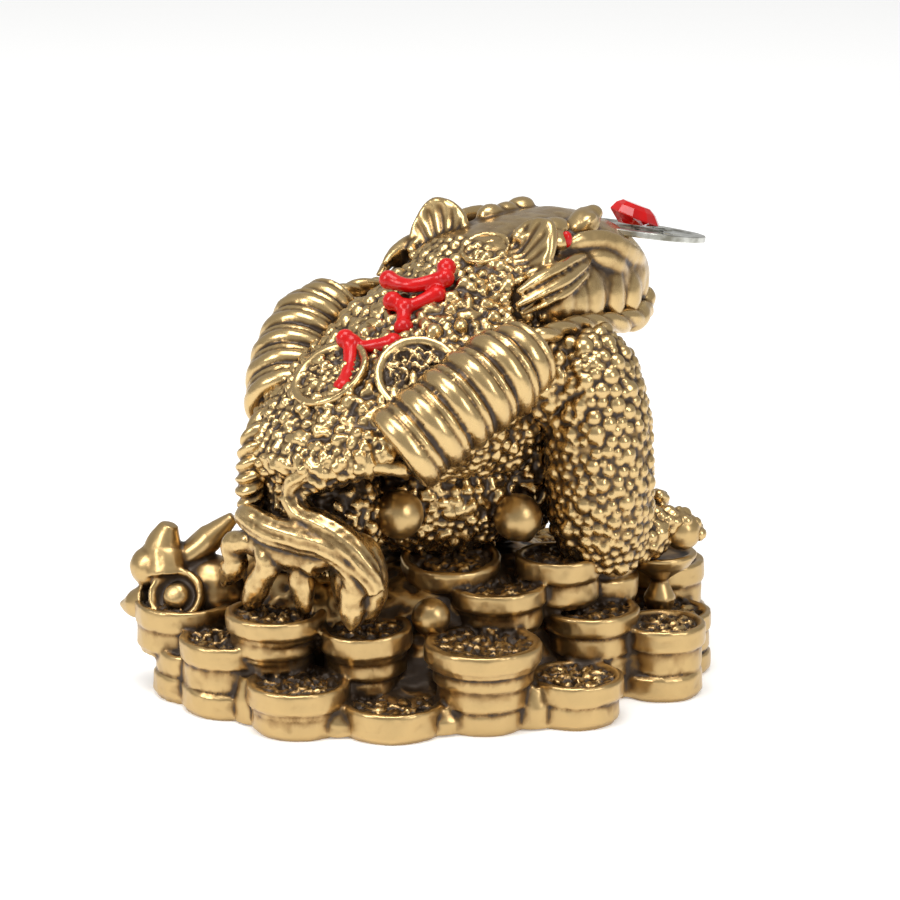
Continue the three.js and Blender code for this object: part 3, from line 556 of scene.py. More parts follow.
def hindLegForms():
    def hairs(t, angle):
        return 1 - 0.12 * (0.5 + 0.5 * math.cos(9 * angle + 1.5 * math.sin(9 * t))) * min(1, t * 6)
    toes = [
        [(4.6, 26.4, 22.2), (7.6, 26.8, 21.0), (7.4, 26.6, 18.8), (9.6, 25.8, 16.6), (11.4, 25.2, 14.6)],
        [(2.6, 26.4, 22.0), (1.4, 26.6, 19.8), (2.8, 26.6, 17.6), (4.6, 26.4, 14.8), (6.2, 26.0, 12.4)],
        [(-5.0, 24.4, 20.2), (-2.8, 24.4, 20.8), (-1.9, 24.2, 18.6), (-1.8, 23.8, 15.8), (-1.4, 23.2, 12.2)],
        [(-9.8, 22.4, 19.0), (-9.3, 22.6, 17.0), (-9.0, 22.4, 15.0), (-8.7, 22.2, 12.4)],
    ]
    forms = [
        # a band curls round the knee and sweeps down to the right
        limb([(-12.6, 16.4, 32.8), (-9.0, 20.2, 33.4), (-5.2, 23.0, 33.2), (-2.5, 24.4, 31.6),
              (-1.2, 24.5, 29.0), (-2.6, 24.6, 26.8), (-5.4, 24.2, 26.0), (-7.8, 23.6, 24.9),
              (-9.8, 22.9, 23.0), (-11.1, 22.0, 20.6), (-11.7, 21.0, 18.0)],
             [(1.1, 1.2), (1.3, 1.5), (1.4, 1.8), (1.4, 2.0), (1.4, 2.0), (1.5, 2.0), (1.7, 2.0), (1.9, 2.1),
              (2.0, 2.1), (1.9, 2.1), (1.5, 1.7)], across=(0, 0, 1), sides=54, steps=80, wave=hairs),
        # the foot above the toes, bent down at its right end
        limb([(6.0, 26.7, 25.3), (4.0, 27.0, 25.2), (0.5, 26.9, 24.4), (-3.4, 25.8, 24.0), (-6.8, 24.6, 23.6),
              (-9.2, 23.4, 21.8), (-9.8, 22.6, 19.0), (-9.4, 22.4, 16.4)],
             [(1.3, 1.2), (1.9, 1.8), (2.0, 1.9), (2.0, 1.9), (1.9, 1.9), (1.8, 1.8), (1.6, 1.6), (1.4, 1.4)],
             across=(0, 0, 1), sides=40, steps=50, wave=hairs),
        lump((0.2, 23.6, 22.0), (7.6, 3.8, 3.4), (0, 0, 12)),
        lump((-7.6, 19.8, 18.4), (4.0, 3.2, 6.0)),
    ]
    for points in toes:
        forms.append(limb(points, [(1.3, 1.3), (1.7, 1.6), (1.5, 1.4), (1.75, 1.6), (1.3, 1.2), (0.3, 0.3)],
                          across=(0.4, 0.4, 0.8), sides=16, steps=24))
    return forms


coinString = {"radius": 5.8, "coins": 6, "firstShare": 0.84, "start": (-17.2, -0.4, 45.2),
              "middle": (-16.6, 9.4, 41.6), "rightEnd": (-12.0, 17.6, 34.6), "leftEnd": (9.8, 14.8, 35.6),
              # along each coin, a narrow collar, then a fat rounded band with a shallow groove in it
              "band": ((0.0, 0.86), (0.08, 0.9), (0.16, 0.97), (0.25, 0.98), (0.31, 0.92), (0.36, 0.92),
                       (0.43, 0.98), (0.6, 1.02), (0.8, 1.0), (0.9, 0.95), (0.96, 0.87))}


def stringForms():
    def segment(m, side):
        start, middle = Vector(m(coinString["start"])), Vector(m(coinString["middle"]))
        end = Vector(coinString["rightEnd"] if side > 0 else coinString["leftEnd"])
        points, sizes = [], []
        for n in range(coinString["coins"]):
            for share, width in coinString["band"]:
                t = (n + share) / coinString["coins"]
                points.append((1 - t) ** 2 * start + 2 * t * (1 - t) * middle + t * t * end)
                sizes.append(width * coinString["radius"] * (coinString["firstShare"] if n == 0 else 1))
        return limb(points, sizes, across=(0, 0, 1), sides=44, steps=len(points) - 1)
    forms = bothSides(lambda m, side: [
        segment(m, side),
        limb(map(m, [(-17.6, -0.6, 47.0), (-17.4, -4.0, 47.1), (-16.2, -8.4, 46.8), (-15.0, -12.2, 46.3),
                     (-13.9, -16.0, 45.6), (-12.4, -20.4, 44.8), (-10.8, -25.0, 44.2), (-9.0, -28.8, 44.2),
                     (-6.4, -32.2, 44.2), (-3.0, -34.6, 44.0), (0.6, -35.4, 43.9)]),
             [1.0, 1.15, 1.25, 1.5, 1.6], across=(0.3, 0.2, 1), sides=24, steps=110, strands=2, twist=9,
             groove=0.5),
        lump(m((-9.4, -27.6, 44.0)), (2.1, 3.1, 1.8), (-14, 0, side * 24)),
        lump(m((-7.0, -31.8, 45.2)), (1.7, 2.0, 1.7), (-24, 0, side * 30)),
    ])
    forms.append(limb([(9.8, 16.8, 36.2), (7.4, 22.4, 34.6), (6.5, 24.3, 32.2), (6.3, 25.0, 29.4),
                       (7.0, 24.4, 26.6), (7.0, 23.6, 23.8)], [1.6, 1.7, 1.6, 1.4],
                      across=(0.3, 0.2, 1), sides=24, steps=80, strands=2, twist=8, groove=0.6))
    return forms


backCoins = {"thickness": 2.5, "sunk": 1.55, "placed": [
    # middle of the face, radius, direction of the face
    ((-9.9, 11.9, 43.0), 5.4, (-0.5, 0.52, 0.7)),
    ((0.4, 16.6, 42.0), 5.3, (0.02, 0.6, 0.78)),
    ((-2.9, -7.0, 54.55), 3.3, (-0.15, 0.4, 0.9)),
]}


def backCoinForms(rng):
    forms = []
    for place, radius, direction in backCoins["placed"]:
        coin = placedCoin(rng, radius, backCoins["thickness"], True)
        out = Vector(direction).normalized()
        coin.rotation_mode = "QUATERNION"
        coin.rotation_quaternion = Vector((0, 0, 1)).rotation_difference(out)
        coin.location = (Vector(place) - backCoins["sunk"] * out) * mm
        applyPlace(coin)
        coinFields.append((Vector(place) + 0.25 * out, out, radius - 1.2))
        forms.append(coin)
    return forms


def turnedForm(profile, sides=36):
    # a radius and a height for each ring, as on a lathe
    piece = ringedCylinder(sides, len(profile) - 1)
    for vertex in piece.data.vertices:
        x, y, z = vertex.co
        radius, height = profile[int(round((z + 0.5) * (len(profile) - 1)))]
        vertex.co = (x * radius, y * radius, height)
    return piece


def ingotForms():
    cup = turnedForm([(0.5, -0.9), (0.55, -0.8), (0.95, -0.1), (1.02, 0.2), (0.95, 0.33), (0.84, 0.3),
                      (0.62, 0), (0.5, 0.05), (0.44, 0.28), (0.3, 0.42), (0.02, 0.47)])
    cup.scale = (3.8 * mm, 3.5 * mm, 3.8 * mm)
    applyPlace(cup)
    cup.rotation_euler = (math.radians(-62), 0, math.radians(20))
    cup.location = Vector((17.4, 27.4, 12.4)) * mm
    applyPlace(cup)
    dish = turnedForm([(1.2, -8.6), (1.4, -8), (2.1, -5.8), (1.0, -3.4), (3.8, -1.4), (4.8, 0.0), (4.5, 0.4),
                       (3.9, 0.4), (3.2, -0.3), (0.1, -0.4)])
    dish.scale = (mm, mm, mm)
    dish.location = Vector((-19.2, -22.3, 15.35)) * mm
    applyPlace(dish)
    return [
        cup, dish,
        lump((22.8, 27.0, 15.2), (2.9, 2.9, 2.7)),
        limb([(20.6, 26.6, 14.3), (21.6, 26.0, 17.7), (20.9, 25.6, 20.8)], [(3.4, 3.0), (2.9, 2.4), (1.2, 1.0)],
             sides=16, steps=12),
        limb([(22.4, 27.8, 10.9), (24.6, 28.6, 10.1), (26.6, 29.2, 9.9)], [(2.4, 2.4), (1.8, 1.9), (0.3, 0.4)],
             across=(0, 0, 1), sides=16, steps=10),
        limb([(19.6, 24.2, 16.4), (17.6, 21.8, 18.9), (15.4, 19.6, 21.7)], [(1.6, 2.2), (1.8, 2.4), (0.8, 1.0)],
             across=(0, 0, 1), sides=16, steps=12),
        lump((17.4, 22.0, 12.1), (5.0, 4.8, 4.6), (0, 0, 20)),
    ]


balls = {"radius": 2.7, "placed": [
    # x, y, the height in coins, share of the radius
    (-6.8, 12.2, 8.06, 1.14),
    (-13.2, -2.3, 7.4, 1.14),
    (-11.2, 11.0, 4.0, 0.9),
    (-22.0, -23.2, 6.05, 0.92),
]}


def ballForms():
    return [lump((x, y, coins * heap["coinThickness"]), (balls["radius"] * share,) * 3, sides=32)
            for x, y, coins, share in balls["placed"]]


starWidths = [1.15, 0.95, 0.9, 0.95, 1.15]
starEnd = (1.25, 1.25, 1.25)
starMarks = [
    [(2.7, 4.6, 51.9), (1.0, 4.3, 51.6), (-0.9, 3.8, 51.6), (-2.2, 2.1, 52.0), (-3.4, 0.8, 52.5)],
    [(-3.5, 0.9, 52.5), (-2.9, 0.0, 53.6)],
    [(0.1, 6.5, 49.9), (-1.6, 5.9, 49.4), (-2.7, 4.7, 49.8), (-3.7, 2.5, 50.7)],
    [(-1.7, 6.1, 49.3), (-2.6, 7.2, 48.2), (-3.4, 8.0, 47.4)],
    [(1.2, 13.5, 46.1), (-0.1, 12.7, 45.2), (-2.4, 11.8, 45.5), (-4.1, 10.5, 46.0)],
    [(0.4, 13.2, 45.6), (-0.8, 14.6, 43.9), (-2.0, 16.2, 42.6), (-2.8, 17.8, 41.4)],
]


def scatter(rng, points, allowed, spacing):
    # indexes of points at least their own spacing apart, found in random order
    order = np.flatnonzero(allowed)
    rng.shuffle(order)
    cell = float(np.max(spacing[order])) if len(order) else 1
    grid = {}
    chosen = []

    def isClear(i, key):
        p = points[i]
        for dx, dy, dz in product((-1, 0, 1), repeat=3):
            for j in grid.get((key[0] + dx, key[1] + dy, key[2] + dz), ()):
                q = points[j]
                if (p[0] - q[0]) ** 2 + (p[1] - q[1]) ** 2 + (p[2] - q[2]) ** 2 < spacing[i] ** 2:
                    return False
        return True

    for i in order:
        key = tuple(int(v // cell) for v in points[i])
        if isClear(i, key):
            grid.setdefault(key, []).append(i)
            chosen.append(i)
    return chosen


def raiseWarts(piece, seed, allowed, size, spread, height):
    # round bumps over the allowed points, farther apart with a larger spread
    points, normals = getPoints(piece), getNormals(piece)
    rng = np.random.default_rng(seed)
    radius = size * (0.6 + 0.75 * rng.random(len(points)))
    chosen = scatter(rng, points, allowed, 2 * radius * spread * 0.86)
    tree = KDTree(len(points))
    for i, p in enumerate(points):
        tree.insert(p, i)
    tree.balance()
    lift = np.zeros(len(points))
    for i in chosen:
        r = radius[i]
        for _, j, gap in tree.find_range(points[i], r):
            dome = height * r * max(0, 1 - (gap / r) ** 2) ** 0.75
            if dome > lift[j] and normals[j] @ normals[i] > 0.2:
                lift[j] = dome
    setPoints(piece, relaxed(points + normals * lift[:, None], getEdges(piece), 1))


def crumple(piece, allowed, height, scale, seed=0):
    # sharp little ridges with hollows between them, as in a badly filled mould
    points, normals = getPoints(piece), getNormals(piece)
    lift = np.zeros(len(points))
    offset = Vector((seed * 7.3, seed * 3.1, seed * 1.7))
    for i in np.flatnonzero(allowed > 0):
        place = Vector(points[i]) * scale + offset
        ridge = 1 - 2.2 * abs(noise.noise(place)) - 0.9 * abs(noise.noise(place * 2.1))
        lift[i] = height * allowed[i] * (ridge - 0.35)
    setPoints(piece, points + normals * lift[:, None])


def unevenSkin(piece, height, scale, seed=0):
    # the slow waves and dents of a hand-finished casting
    points, normals = getPoints(piece), getNormals(piece)
    offset = Vector((seed * 5.1, seed * 2.3, seed * 9.7))
    places = [Vector(p) * scale for p in points]
    lift = np.array([noise.noise(p + offset) + 0.5 * noise.noise(p * 2.7 - offset) for p in places])
    setPoints(piece, points + normals * (height * lift)[:, None])


def inFields(points):
    inside = np.zeros(len(points))
    for middle, axis, radius in coinFields:
        middle, axis = np.array(middle), np.array(axis)
        away = points - middle
        level = away @ axis
        flat = np.linalg.norm(away - level[:, None] * axis, axis=1)
        inside = np.maximum(inside, smoothStep(radius + 0.1, radius - 0.5, flat) * (np.abs(level) < 0.75))
    return inside


def addWashAndShade(pieces, extra):
    # how deep each point lies in a recess, for the dark wash, plus painted shade where nearby forms shelter it,
    # kept as one point attribute that the paint reads
    vertices, faces = [], []
    first = 0
    for piece in pieces:
        points = getPoints(piece)
        vertices += [Vector(p) for p in points]
        faces += [[first + v for v in p.vertices] for p in piece.data.polygons]
        first += len(points)
    tree = BVHTree.FromPolygons(vertices, faces)
    report("ray tree")
    rng = np.random.default_rng(11)
    rays = rng.normal(size=(18, 3))
    rays /= np.linalg.norm(rays, axis=1)[:, None]
    for piece in pieces:
        points, normals, edges = getPoints(piece), getNormals(piece), getEdges(piece)
        depth = np.zeros(len(points))
        soft = points
        done = 0
        for rounds, scale, weight in ((4, 0.05, 0.45), (16, 0.16, 0.55), (48, 0.42, 0.5)):
            soft = relaxed(soft, edges, rounds - done)
            done = rounds
            depth += weight * np.clip(np.einsum("ij,ij->i", soft - points, normals) / scale, -1, 1.4)
        # painted shade: one point in each small cell looks round itself, and the more nearby forms its rays
        # hit, the darker it is painted
        cells = {}
        for i, key in enumerate(map(tuple, np.floor(points / 1.1).astype(int))):
            cells.setdefault(key, i)
        shelterShade = np.full(len(points), np.nan)
        for i in cells.values():
            start = Vector(points[i] + normals[i] * 0.35)
            blocked = 0.0
            for ray in rays:
                turned = ray if ray @ normals[i] > 0 else -ray
                hit = tree.ray_cast(start, Vector(turned), 7.0)
                if hit[0] is not None:
                    blocked += 1 - hit[3] / 9.0
            shelterShade[i] = blocked / len(rays)
        known = np.flatnonzero(~np.isnan(shelterShade))
        nearTree = KDTree(len(known))
        for i in known:
            nearTree.insert(points[i], int(i))
        nearTree.balance()
        for i in np.flatnonzero(np.isnan(shelterShade)):
            shelterShade[i] = shelterShade[nearTree.find(points[i])[1]]
        shelterShade = relaxed(shelterShade, edges, 8)
        # the recess depth gives the dark wash; the shelter adds painted shade on top
        washAndShade = relaxed(0.55 * depth + 1.5 * np.clip(shelterShade - 0.3, 0, 1), edges, 1) + extra.get(piece.name, 0)
        attribute = piece.data.attributes.new("washAndShade", "FLOAT", "POINT")
        attribute.data.foreach_set("value", washAndShade.astype(np.float32))
    report("washAndShade")


def link(tree, a, outName, b, inName):
    tree.links.new(a.outputs[outName], b.inputs[inName])


# the dark colour is the wash in the hollows, and the same colour paints the shade where forms shelter each
# other
gold = {"bright": (0.58, 0.41, 0.19, 1), "dull": (0.29, 0.18, 0.075, 1), "stain_and_shade": (0.035, 0.019, 0.008, 1),
        "shift": 0.0, "fleck": 0.25, "matt": 0.0, "bump": 0.12}
coinGold = {"bright": (0.5, 0.345, 0.155, 1), "dull": (0.25, 0.15, 0.062, 1), "stain_and_shade": (0.035, 0.019, 0.008, 1),
            "shift": -0.03, "fleck": 0.1, "matt": 0.07, "bump": 0.12}
washAndShadeInputs = ("Bright", "Dull", "Stain_and_shade", "Shift", "Fleck", "Matt")


def washAndShadeGroup():
    # colours, roughness and metal of brushed gold over a dark wash; the wash value also carries painted shade,
    # so the dull gold and the dark colour are partly painted shade
    group = bpy.data.node_groups.new("antiqueWashAndShade", "ShaderNodeTree")
    face = group.interface
    for name in washAndShadeInputs:
        value = gold[name.lower()]
        kind = "NodeSocketFloat" if isinstance(value, float) else "NodeSocketColor"
        face.new_socket(name=name, in_out="INPUT", socket_type=kind).default_value = value
    for name, kind in (("Color", "NodeSocketColor"), ("Roughness", "NodeSocketFloat"),
                       ("Metallic", "NodeSocketFloat"), ("Height", "NodeSocketFloat")):
        face.new_socket(name=name, in_out="OUTPUT", socket_type=kind)
    nodes = group.nodes
    start, end = nodes.new("NodeGroupInput"), nodes.new("NodeGroupOutput")
    washAndShade = nodes.new("ShaderNodeAttribute")
    washAndShade.attribute_name = "washAndShade"
    place = nodes.new("ShaderNodeTexCoord")
    coarse, fine = nodes.new("ShaderNodeTexNoise"), nodes.new("ShaderNodeTexNoise")
    coarse.inputs["Scale"].default_value = 420
    coarse.inputs["Detail"].default_value = 5
    fine.inputs["Scale"].default_value = 1900
    fine.inputs["Detail"].default_value = 3
    link(group, place, "Object", coarse, "Vector")
    link(group, place, "Object", fine, "Vector")

    def maths(kind, a, b, clamp=False):
        node = nodes.new("ShaderNodeMath")
        node.operation = kind
        node.use_clamp = clamp
        for n, value in enumerate((a, b)):
            if isinstance(value, (int, float)):
                node.inputs[n].default_value = value
            else:
                group.links.new(value, node.inputs[n])
        return node.outputs[0]

    def spread(value, low, high, toLow=0.0, toHigh=1.0):
        node = nodes.new("ShaderNodeMapRange")
        node.interpolation_type = "SMOOTHSTEP"
        group.links.new(value, node.inputs["Value"])
        for name, number in (("From Min", low), ("From Max", high), ("To Min", toLow), ("To Max", toHigh)):
            node.inputs[name].default_value = number
        return node.outputs["Result"]

    def mixColour(share, a, b):
        node = nodes.new("ShaderNodeMix")
        node.data_type = "RGBA"
        group.links.new(share, node.inputs[0])
        group.links.new(a, node.inputs[6])
        group.links.new(b, node.inputs[7])
        return node.outputs[2]

    grain = maths("MULTIPLY", maths("SUBTRACT", coarse.outputs["Fac"], 0.5), start.outputs["Fleck"])
    speck = maths("MULTIPLY", maths("SUBTRACT", fine.outputs["Fac"], 0.5), start.outputs["Fleck"])
    # the wash value, painted shade included, and random flecks give the depth that turns the gold dull and then
    # dark
    depth = maths("ADD", maths("ADD", washAndShade.outputs["Fac"], start.outputs["Shift"]),
                  maths("ADD", maths("MULTIPLY", grain, 1.6), maths("MULTIPLY", speck, 1.0)))
    dull = spread(depth, -0.25, 0.28)
    stain_and_shade = spread(depth, 0.1, 0.55)
    brushed = mixColour(dull, start.outputs["Bright"], start.outputs["Dull"])
    colour = mixColour(stain_and_shade, brushed, start.outputs["Stain_and_shade"])
    group.links.new(colour, end.inputs["Color"])
    rough = maths("ADD", maths("ADD", 0.2, maths("MULTIPLY", coarse.outputs["Fac"], 0.14)),
                  maths("MULTIPLY", stain_and_shade, 0.12))
    group.links.new(maths("ADD", rough, start.outputs["Matt"]), end.inputs["Roughness"])
    group.links.new(spread(stain_and_shade, 0.3, 1.0, 1.0, 0.35), end.inputs["Metallic"])
    group.links.new(maths("ADD", coarse.outputs["Fac"], maths("MULTIPLY", fine.outputs["Fac"], 0.35)),
                    end.inputs["Height"])
    return group


antiqueWashAndShade = washAndShadeGroup()


def newPaint(name):
    paint = bpy.data.materials.new(name)
    paint.use_nodes = True
    return paint, paint.node_tree, paint.node_tree.nodes["Principled BSDF"]


def addBump(tree, shader, source, outName, strength, distance):
    relief = tree.nodes.new("ShaderNodeBump")
    relief.inputs["Strength"].default_value = strength
    relief.inputs["Distance"].default_value = distance
    link(tree, source, outName, relief, "Height")
    link(tree, relief, "Normal", shader, "Normal")


def addClouds(tree, shader, scale, detail, first, second, places=(0, 1)):
    # soft clouds of two colours, fixed to the object
    place = tree.nodes.new("ShaderNodeTexCoord")
    clouds = tree.nodes.new("ShaderNodeTexNoise")
    clouds.inputs["Scale"].default_value = scale
    clouds.inputs["Detail"].default_value = detail
    ramp = tree.nodes.new("ShaderNodeValToRGB")
    for element, position, colour in zip(ramp.color_ramp.elements, places, (first, second)):
        element.position = position
        element.color = colour
    link(tree, place, "Object", clouds, "Vector")
    link(tree, clouds, "Fac", ramp, "Fac")
    link(tree, ramp, "Color", shader, "Base Color")
    return clouds


def goldPaint(name, look):
    paint, tree, shader = newPaint(name)
    washAndShade = tree.nodes.new("ShaderNodeGroup")
    washAndShade.node_tree = antiqueWashAndShade
    for key in washAndShadeInputs:
        washAndShade.inputs[key].default_value = look[key.lower()]
    link(tree, washAndShade, "Color", shader, "Base Color")
    link(tree, washAndShade, "Roughness", shader, "Roughness")
    link(tree, washAndShade, "Metallic", shader, "Metallic")
    addBump(tree, shader, washAndShade, "Height", look["bump"], 0.0002)
    return paint


def redEnamel():
    paint, tree, shader = newPaint("redEnamel")
    clouds = addClouds(tree, shader, 600, 2, (0.34, 0.002, 0.002, 1), (0.66, 0.004, 0.003, 1))
    addBump(tree, shader, clouds, "Fac", 0.15, 0.0002)
    shader.inputs["Roughness"].default_value = 0.24
    shader.inputs["Specular IOR Level"].default_value = 0.35
    return paint


def palePlate():
    metal, tree, shader = newPaint("palePlate")
    clouds = addClouds(tree, shader, 350, 6, (0.22, 0.21, 0.17, 1), (0.62, 0.62, 0.57, 1), (0.35, 0.6))
    addBump(tree, shader, clouds, "Fac", 0.2, 0.0001)
    shader.inputs["Metallic"].default_value = 1
    shader.inputs["Roughness"].default_value = 0.32
    return metal


def redGem():
    gem, tree, shader = newPaint("redGem")
    addClouds(tree, shader, 260, 2, (0.6, 0.002, 0.002, 1), (0.3, 0.001, 0.001, 1))
    shader.inputs["Roughness"].default_value = 0.05
    shader.inputs["Specular IOR Level"].default_value = 0.4
    shader.inputs["IOR"].default_value = 1.49
    return gem


rng = random.Random(heap["seed"])
bpy.ops.mesh.primitive_cube_add(size=mm)
strokeModel = bpy.context.object
plainCoin = modelCoin(rng, False)
facedCoins = [modelCoin(rng, True) for n in range(heap["faces"])]
shown = [pileOfCoins(rng, *pile) for pile in shownPiles]
report("shown coins modelled")
heapFront = castForms(shown + webForms(shownPiles), "heapFront", smoothing=1)
hidden = [pileOfCoins(rng, *pile) for pile in hiddenPiles]
heapBack = castForms(hidden, "heapBack", smoothing=1)
heapFill = castForms([moundForm()] + restForms(), "heapFill")
report("heap cast")
ingotPiece = castForms(ingotForms(), "ingots")
ballPiece = castForms(ballForms(), "balls", smoothing=1)
toadBody = castForms(bodyForms(), "toadBody")
toadHead = castForms(headForms() + faceForms() + earForms(), "toadHead", smoothing=4)
report("toad cast")
toadLegs = castForms(frontLegForms(), "frontLegs")
hindLeg = castForms(hindLegForms(), "hindLeg")
strings = castForms(stringForms() + backCoinForms(rng), "coinStrings")
for model in [strokeModel, plainCoin] + facedCoins:
    bpy.data.objects.remove(model)
report("limbs and strings cast")

# the height of the waves and how close they lie
skins = ((toadHead, 0.12, 0.3), (strings, 0.08, 0.3), (hindLeg, 0.12, 0.45), (heapFront, 0.14, 0.34),
         (heapBack, 0.14, 0.34), (ingotPiece, 0.08, 0.4), (ballPiece, 0.07, 0.4))
for n, (piece, height, scale) in enumerate(skins):
    unevenSkin(piece, height, scale, n + 1)
ribEars(toadHead)
for n, piece in enumerate((heapFront, heapBack, strings)):
    crumple(piece, inFields(getPoints(piece)), 0.74, 0.72, n + 1)
crumple(heapFill, np.ones(len(heapFill.data.vertices)), 0.3, 0.5, 5)
report("uneven skins")

# each row is the random seed, the size, the spread and the height
warts = {"leg": (3, 1.0, 0.96, 0.62), "backLarge": (14, 1.2, 1.25, 0.4), "back": (4, 0.86, 0.94, 0.72),
         "nape": (6, 0.94, 0.96, 0.72), "rough": 0.16}


def addWarts(piece, allowed, kind):
    seed, size, spread, height = warts[kind]
    raiseWarts(piece, seed, allowed, size, spread, height)


addWarts(toadLegs, getPoints(toadLegs)[:, 2] > 16, "leg")
backArea = getPoints(toadBody)[:, 2] > 18
addWarts(toadBody, backArea, "backLarge")
addWarts(toadBody, backArea, "back")
crumple(toadBody, np.ones(len(toadBody.data.vertices)), warts["rough"], 0.55, 9)
points = getPoints(toadHead)
nape = (points[:, 1] > -7.0) & (points[:, 2] < 55.6) & (np.abs(points[:, 0]) < 9.5)
cheek = (points[:, 1] > -7.5) & (points[:, 2] < 48)
addWarts(toadHead, nape | cheek, "nape")
report("warts")

star = castForms([limb(p, starWidths, sides=16, steps=16) for p in starMarks] +
                 [lump(p[n], starEnd) for p in starMarks for n in (0, -1)], "starMarks")
pupil = {"place": (-10.5, -13.6, 56.3), "half": (0.75, 0.75, 1.1)}
pupils = castForms(bothSides(lambda m, side: [lump(m(pupil["place"]), pupil["half"])]), "redPupils",
                   smoothing=1)

# nothing lies below the floor, and a piece with too many triangles is thinned out
mostTriangles = 160000
castPieces = [heapFront, heapBack, heapFill, ingotPiece, ballPiece, toadBody, toadHead, toadLegs, hindLeg,
              strings, star, pupils]
for piece in castPieces:
    points = getPoints(piece)
    points[:, 2] = np.maximum(points[:, 2], 0)
    setPoints(piece, points)
    count = triangleCount(piece)
    if count > mostTriangles:
        applyModifier(piece, "DECIMATE", ratio=mostTriangles / count)
    print("   ", piece.name, count)

# more darkness than the form alone would hold: dark wash in the sunk coin fields, and painted shade behind the
# knee and over the lips
stain_and_shade = {"fields": 0.32, "knee": 0.6, "kneePlace": (-4.6, 20.6, 29.2), "lips": 0.16,
         "lipsPlace": (-10.5, -20.5, 53.4)}


def awayFrom(piece, place):
    return np.linalg.norm(getPoints(piece) - np.array(place), axis=1)


# extra darkness for each piece: the fill between the piles, partly its dark wash and partly painted shade
# between the piles, and the hind leg darker overall
darker = {"heapFill": 0.3, "hindLeg": 0.18}
for piece in (heapFront, heapBack, strings):
    darker[piece.name] = stain_and_shade["fields"] * inFields(getPoints(piece))
# painted shade in the hollow behind the knee and on the lips
darker["toadBody"] = stain_and_shade["knee"] * smoothStep(6.4, 3.2, awayFrom(toadBody, stain_and_shade["kneePlace"]))
darker["toadHead"] = stain_and_shade["lips"] * smoothStep(7.5, 3.5, awayFrom(toadHead, stain_and_shade["lipsPlace"]))
addWashAndShade(castPieces, darker)

goldOnToad = goldPaint("goldOnToad", gold)
goldOnCoins = goldPaint("goldOnCoins", coinGold)
enamel = redEnamel()
for piece in castPieces:
    activate(piece)
    bpy.ops.object.shade_smooth()
    piece.data.materials.clear()
    if piece in (star, pupils):
        piece.data.materials.append(enamel)
    elif piece in (heapFront, heapBack, heapFill, ingotPiece, ballPiece):
        piece.data.materials.append(goldOnCoins)
    else:
        piece.data.materials.append(goldOnToad)
    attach(piece, "root")
    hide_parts("toad_on_coin_heap")
report("paint")


mouth = {"diameter": 19, "thickness": 0.8, "hole": 4, "pitch": 11, "back": (-1.5, -26.6, 55.15), "rim": 1.35,
         "frame": 0.8, "gem": 6.8, "gemHeight": 2.6, "gemSides": 10, "gemGap": 0.3, "gemLean": 13}
pitch = math.radians(mouth["pitch"])
coinRadius = mouth["diameter"] / 2
forward = Vector((0, -math.cos(pitch), -math.sin(pitch)))
coinUp = Vector((0, -math.sin(pitch), math.cos(pitch)))
coinMiddle = Vector(mouth["back"]) + forward * coinRadius


def inCoinPlane(piece, lift=0.0):
    piece.rotation_mode = "XYZ"
    piece.rotation_euler = (pitch, 0, 0)
    piece.location = (coinMiddle + coinUp * lift) * mm
    applyPlace(piece)
    return piece


def looseCoin():
    # a disc with sunk faces, a square hole in a raised frame and short strokes that spell nothing
    deselectAll()
    bpy.ops.mesh.primitive_cylinder_add(vertices=72, radius=coinRadius * mm, depth=mouth["thickness"] * mm,
                                        location=(0, 0, -mouth["thickness"] / 2 * mm))
    disc = bpy.context.object
    applyPlace(disc)
    selectFaces(disc, lambda face: abs(face.normal.z) > 0.9)
    bpy.ops.mesh.inset(thickness=mouth["rim"] * mm, depth=0, use_individual=True)
    bpy.ops.mesh.inset(thickness=0.2 * mm, depth=-0.2 * mm, use_individual=True)
    bpy.ops.object.mode_set(mode="OBJECT")
    applyModifier(disc, "BEVEL", width=0.12 * mm, segments=2, limit_method="ANGLE",
                  angle_limit=math.radians(35))
    deselectAll()
    bpy.ops.mesh.primitive_cube_add(size=mm, location=(0, 0, 0), scale=(mouth["hole"], mouth["hole"], 6))
    cutter = bpy.context.object
    applyPlace(cutter)
    applyModifier(disc, "BOOLEAN", operation="DIFFERENCE", object=cutter, solver="EXACT")
    bpy.data.objects.remove(cutter)
    parts = [disc]

    def addBar(x, y, turn, scale):
        deselectAll()
        bpy.ops.mesh.primitive_cube_add(size=mm, location=(x * mm, y * mm, -mouth["thickness"] / 2 * mm),
                                        rotation=(0, 0, turn), scale=scale)
        parts.append(bpy.context.object)
        applyPlace(parts[-1])

    edge = mouth["hole"] / 2 + 0.42
    angles = [math.radians(90 * n) for n in range(4)]
    for angle in angles:
        addBar(edge * math.cos(angle), edge * math.sin(angle), angle,
               (mouth["frame"], 2 * edge + mouth["frame"], 0.74))
    strokes = random.Random(21)
    for angle in angles:
        for m in range(5):
            away = strokes.uniform(4.6, 6.9)
            off = strokes.uniform(-1.3, 1.3)
            addBar(away * math.cos(angle) - off * math.sin(angle),
                   away * math.sin(angle) + off * math.cos(angle), angle + strokes.choice((0, 0.8, 1.57)),
                   (strokes.uniform(0.9, 2.2), 0.42, 0.7))
    coin = joinForms(parts, "looseCoin")
    return inCoinPlane(coin)


# share of the radius and of the height at each ring: the foot, the girdle, the crown and the table
gemRings = ((0.62, 0.0), (1.0, 0.33), (1.0, 0.4), (0.8, 0.78), (0.56, 1.0))


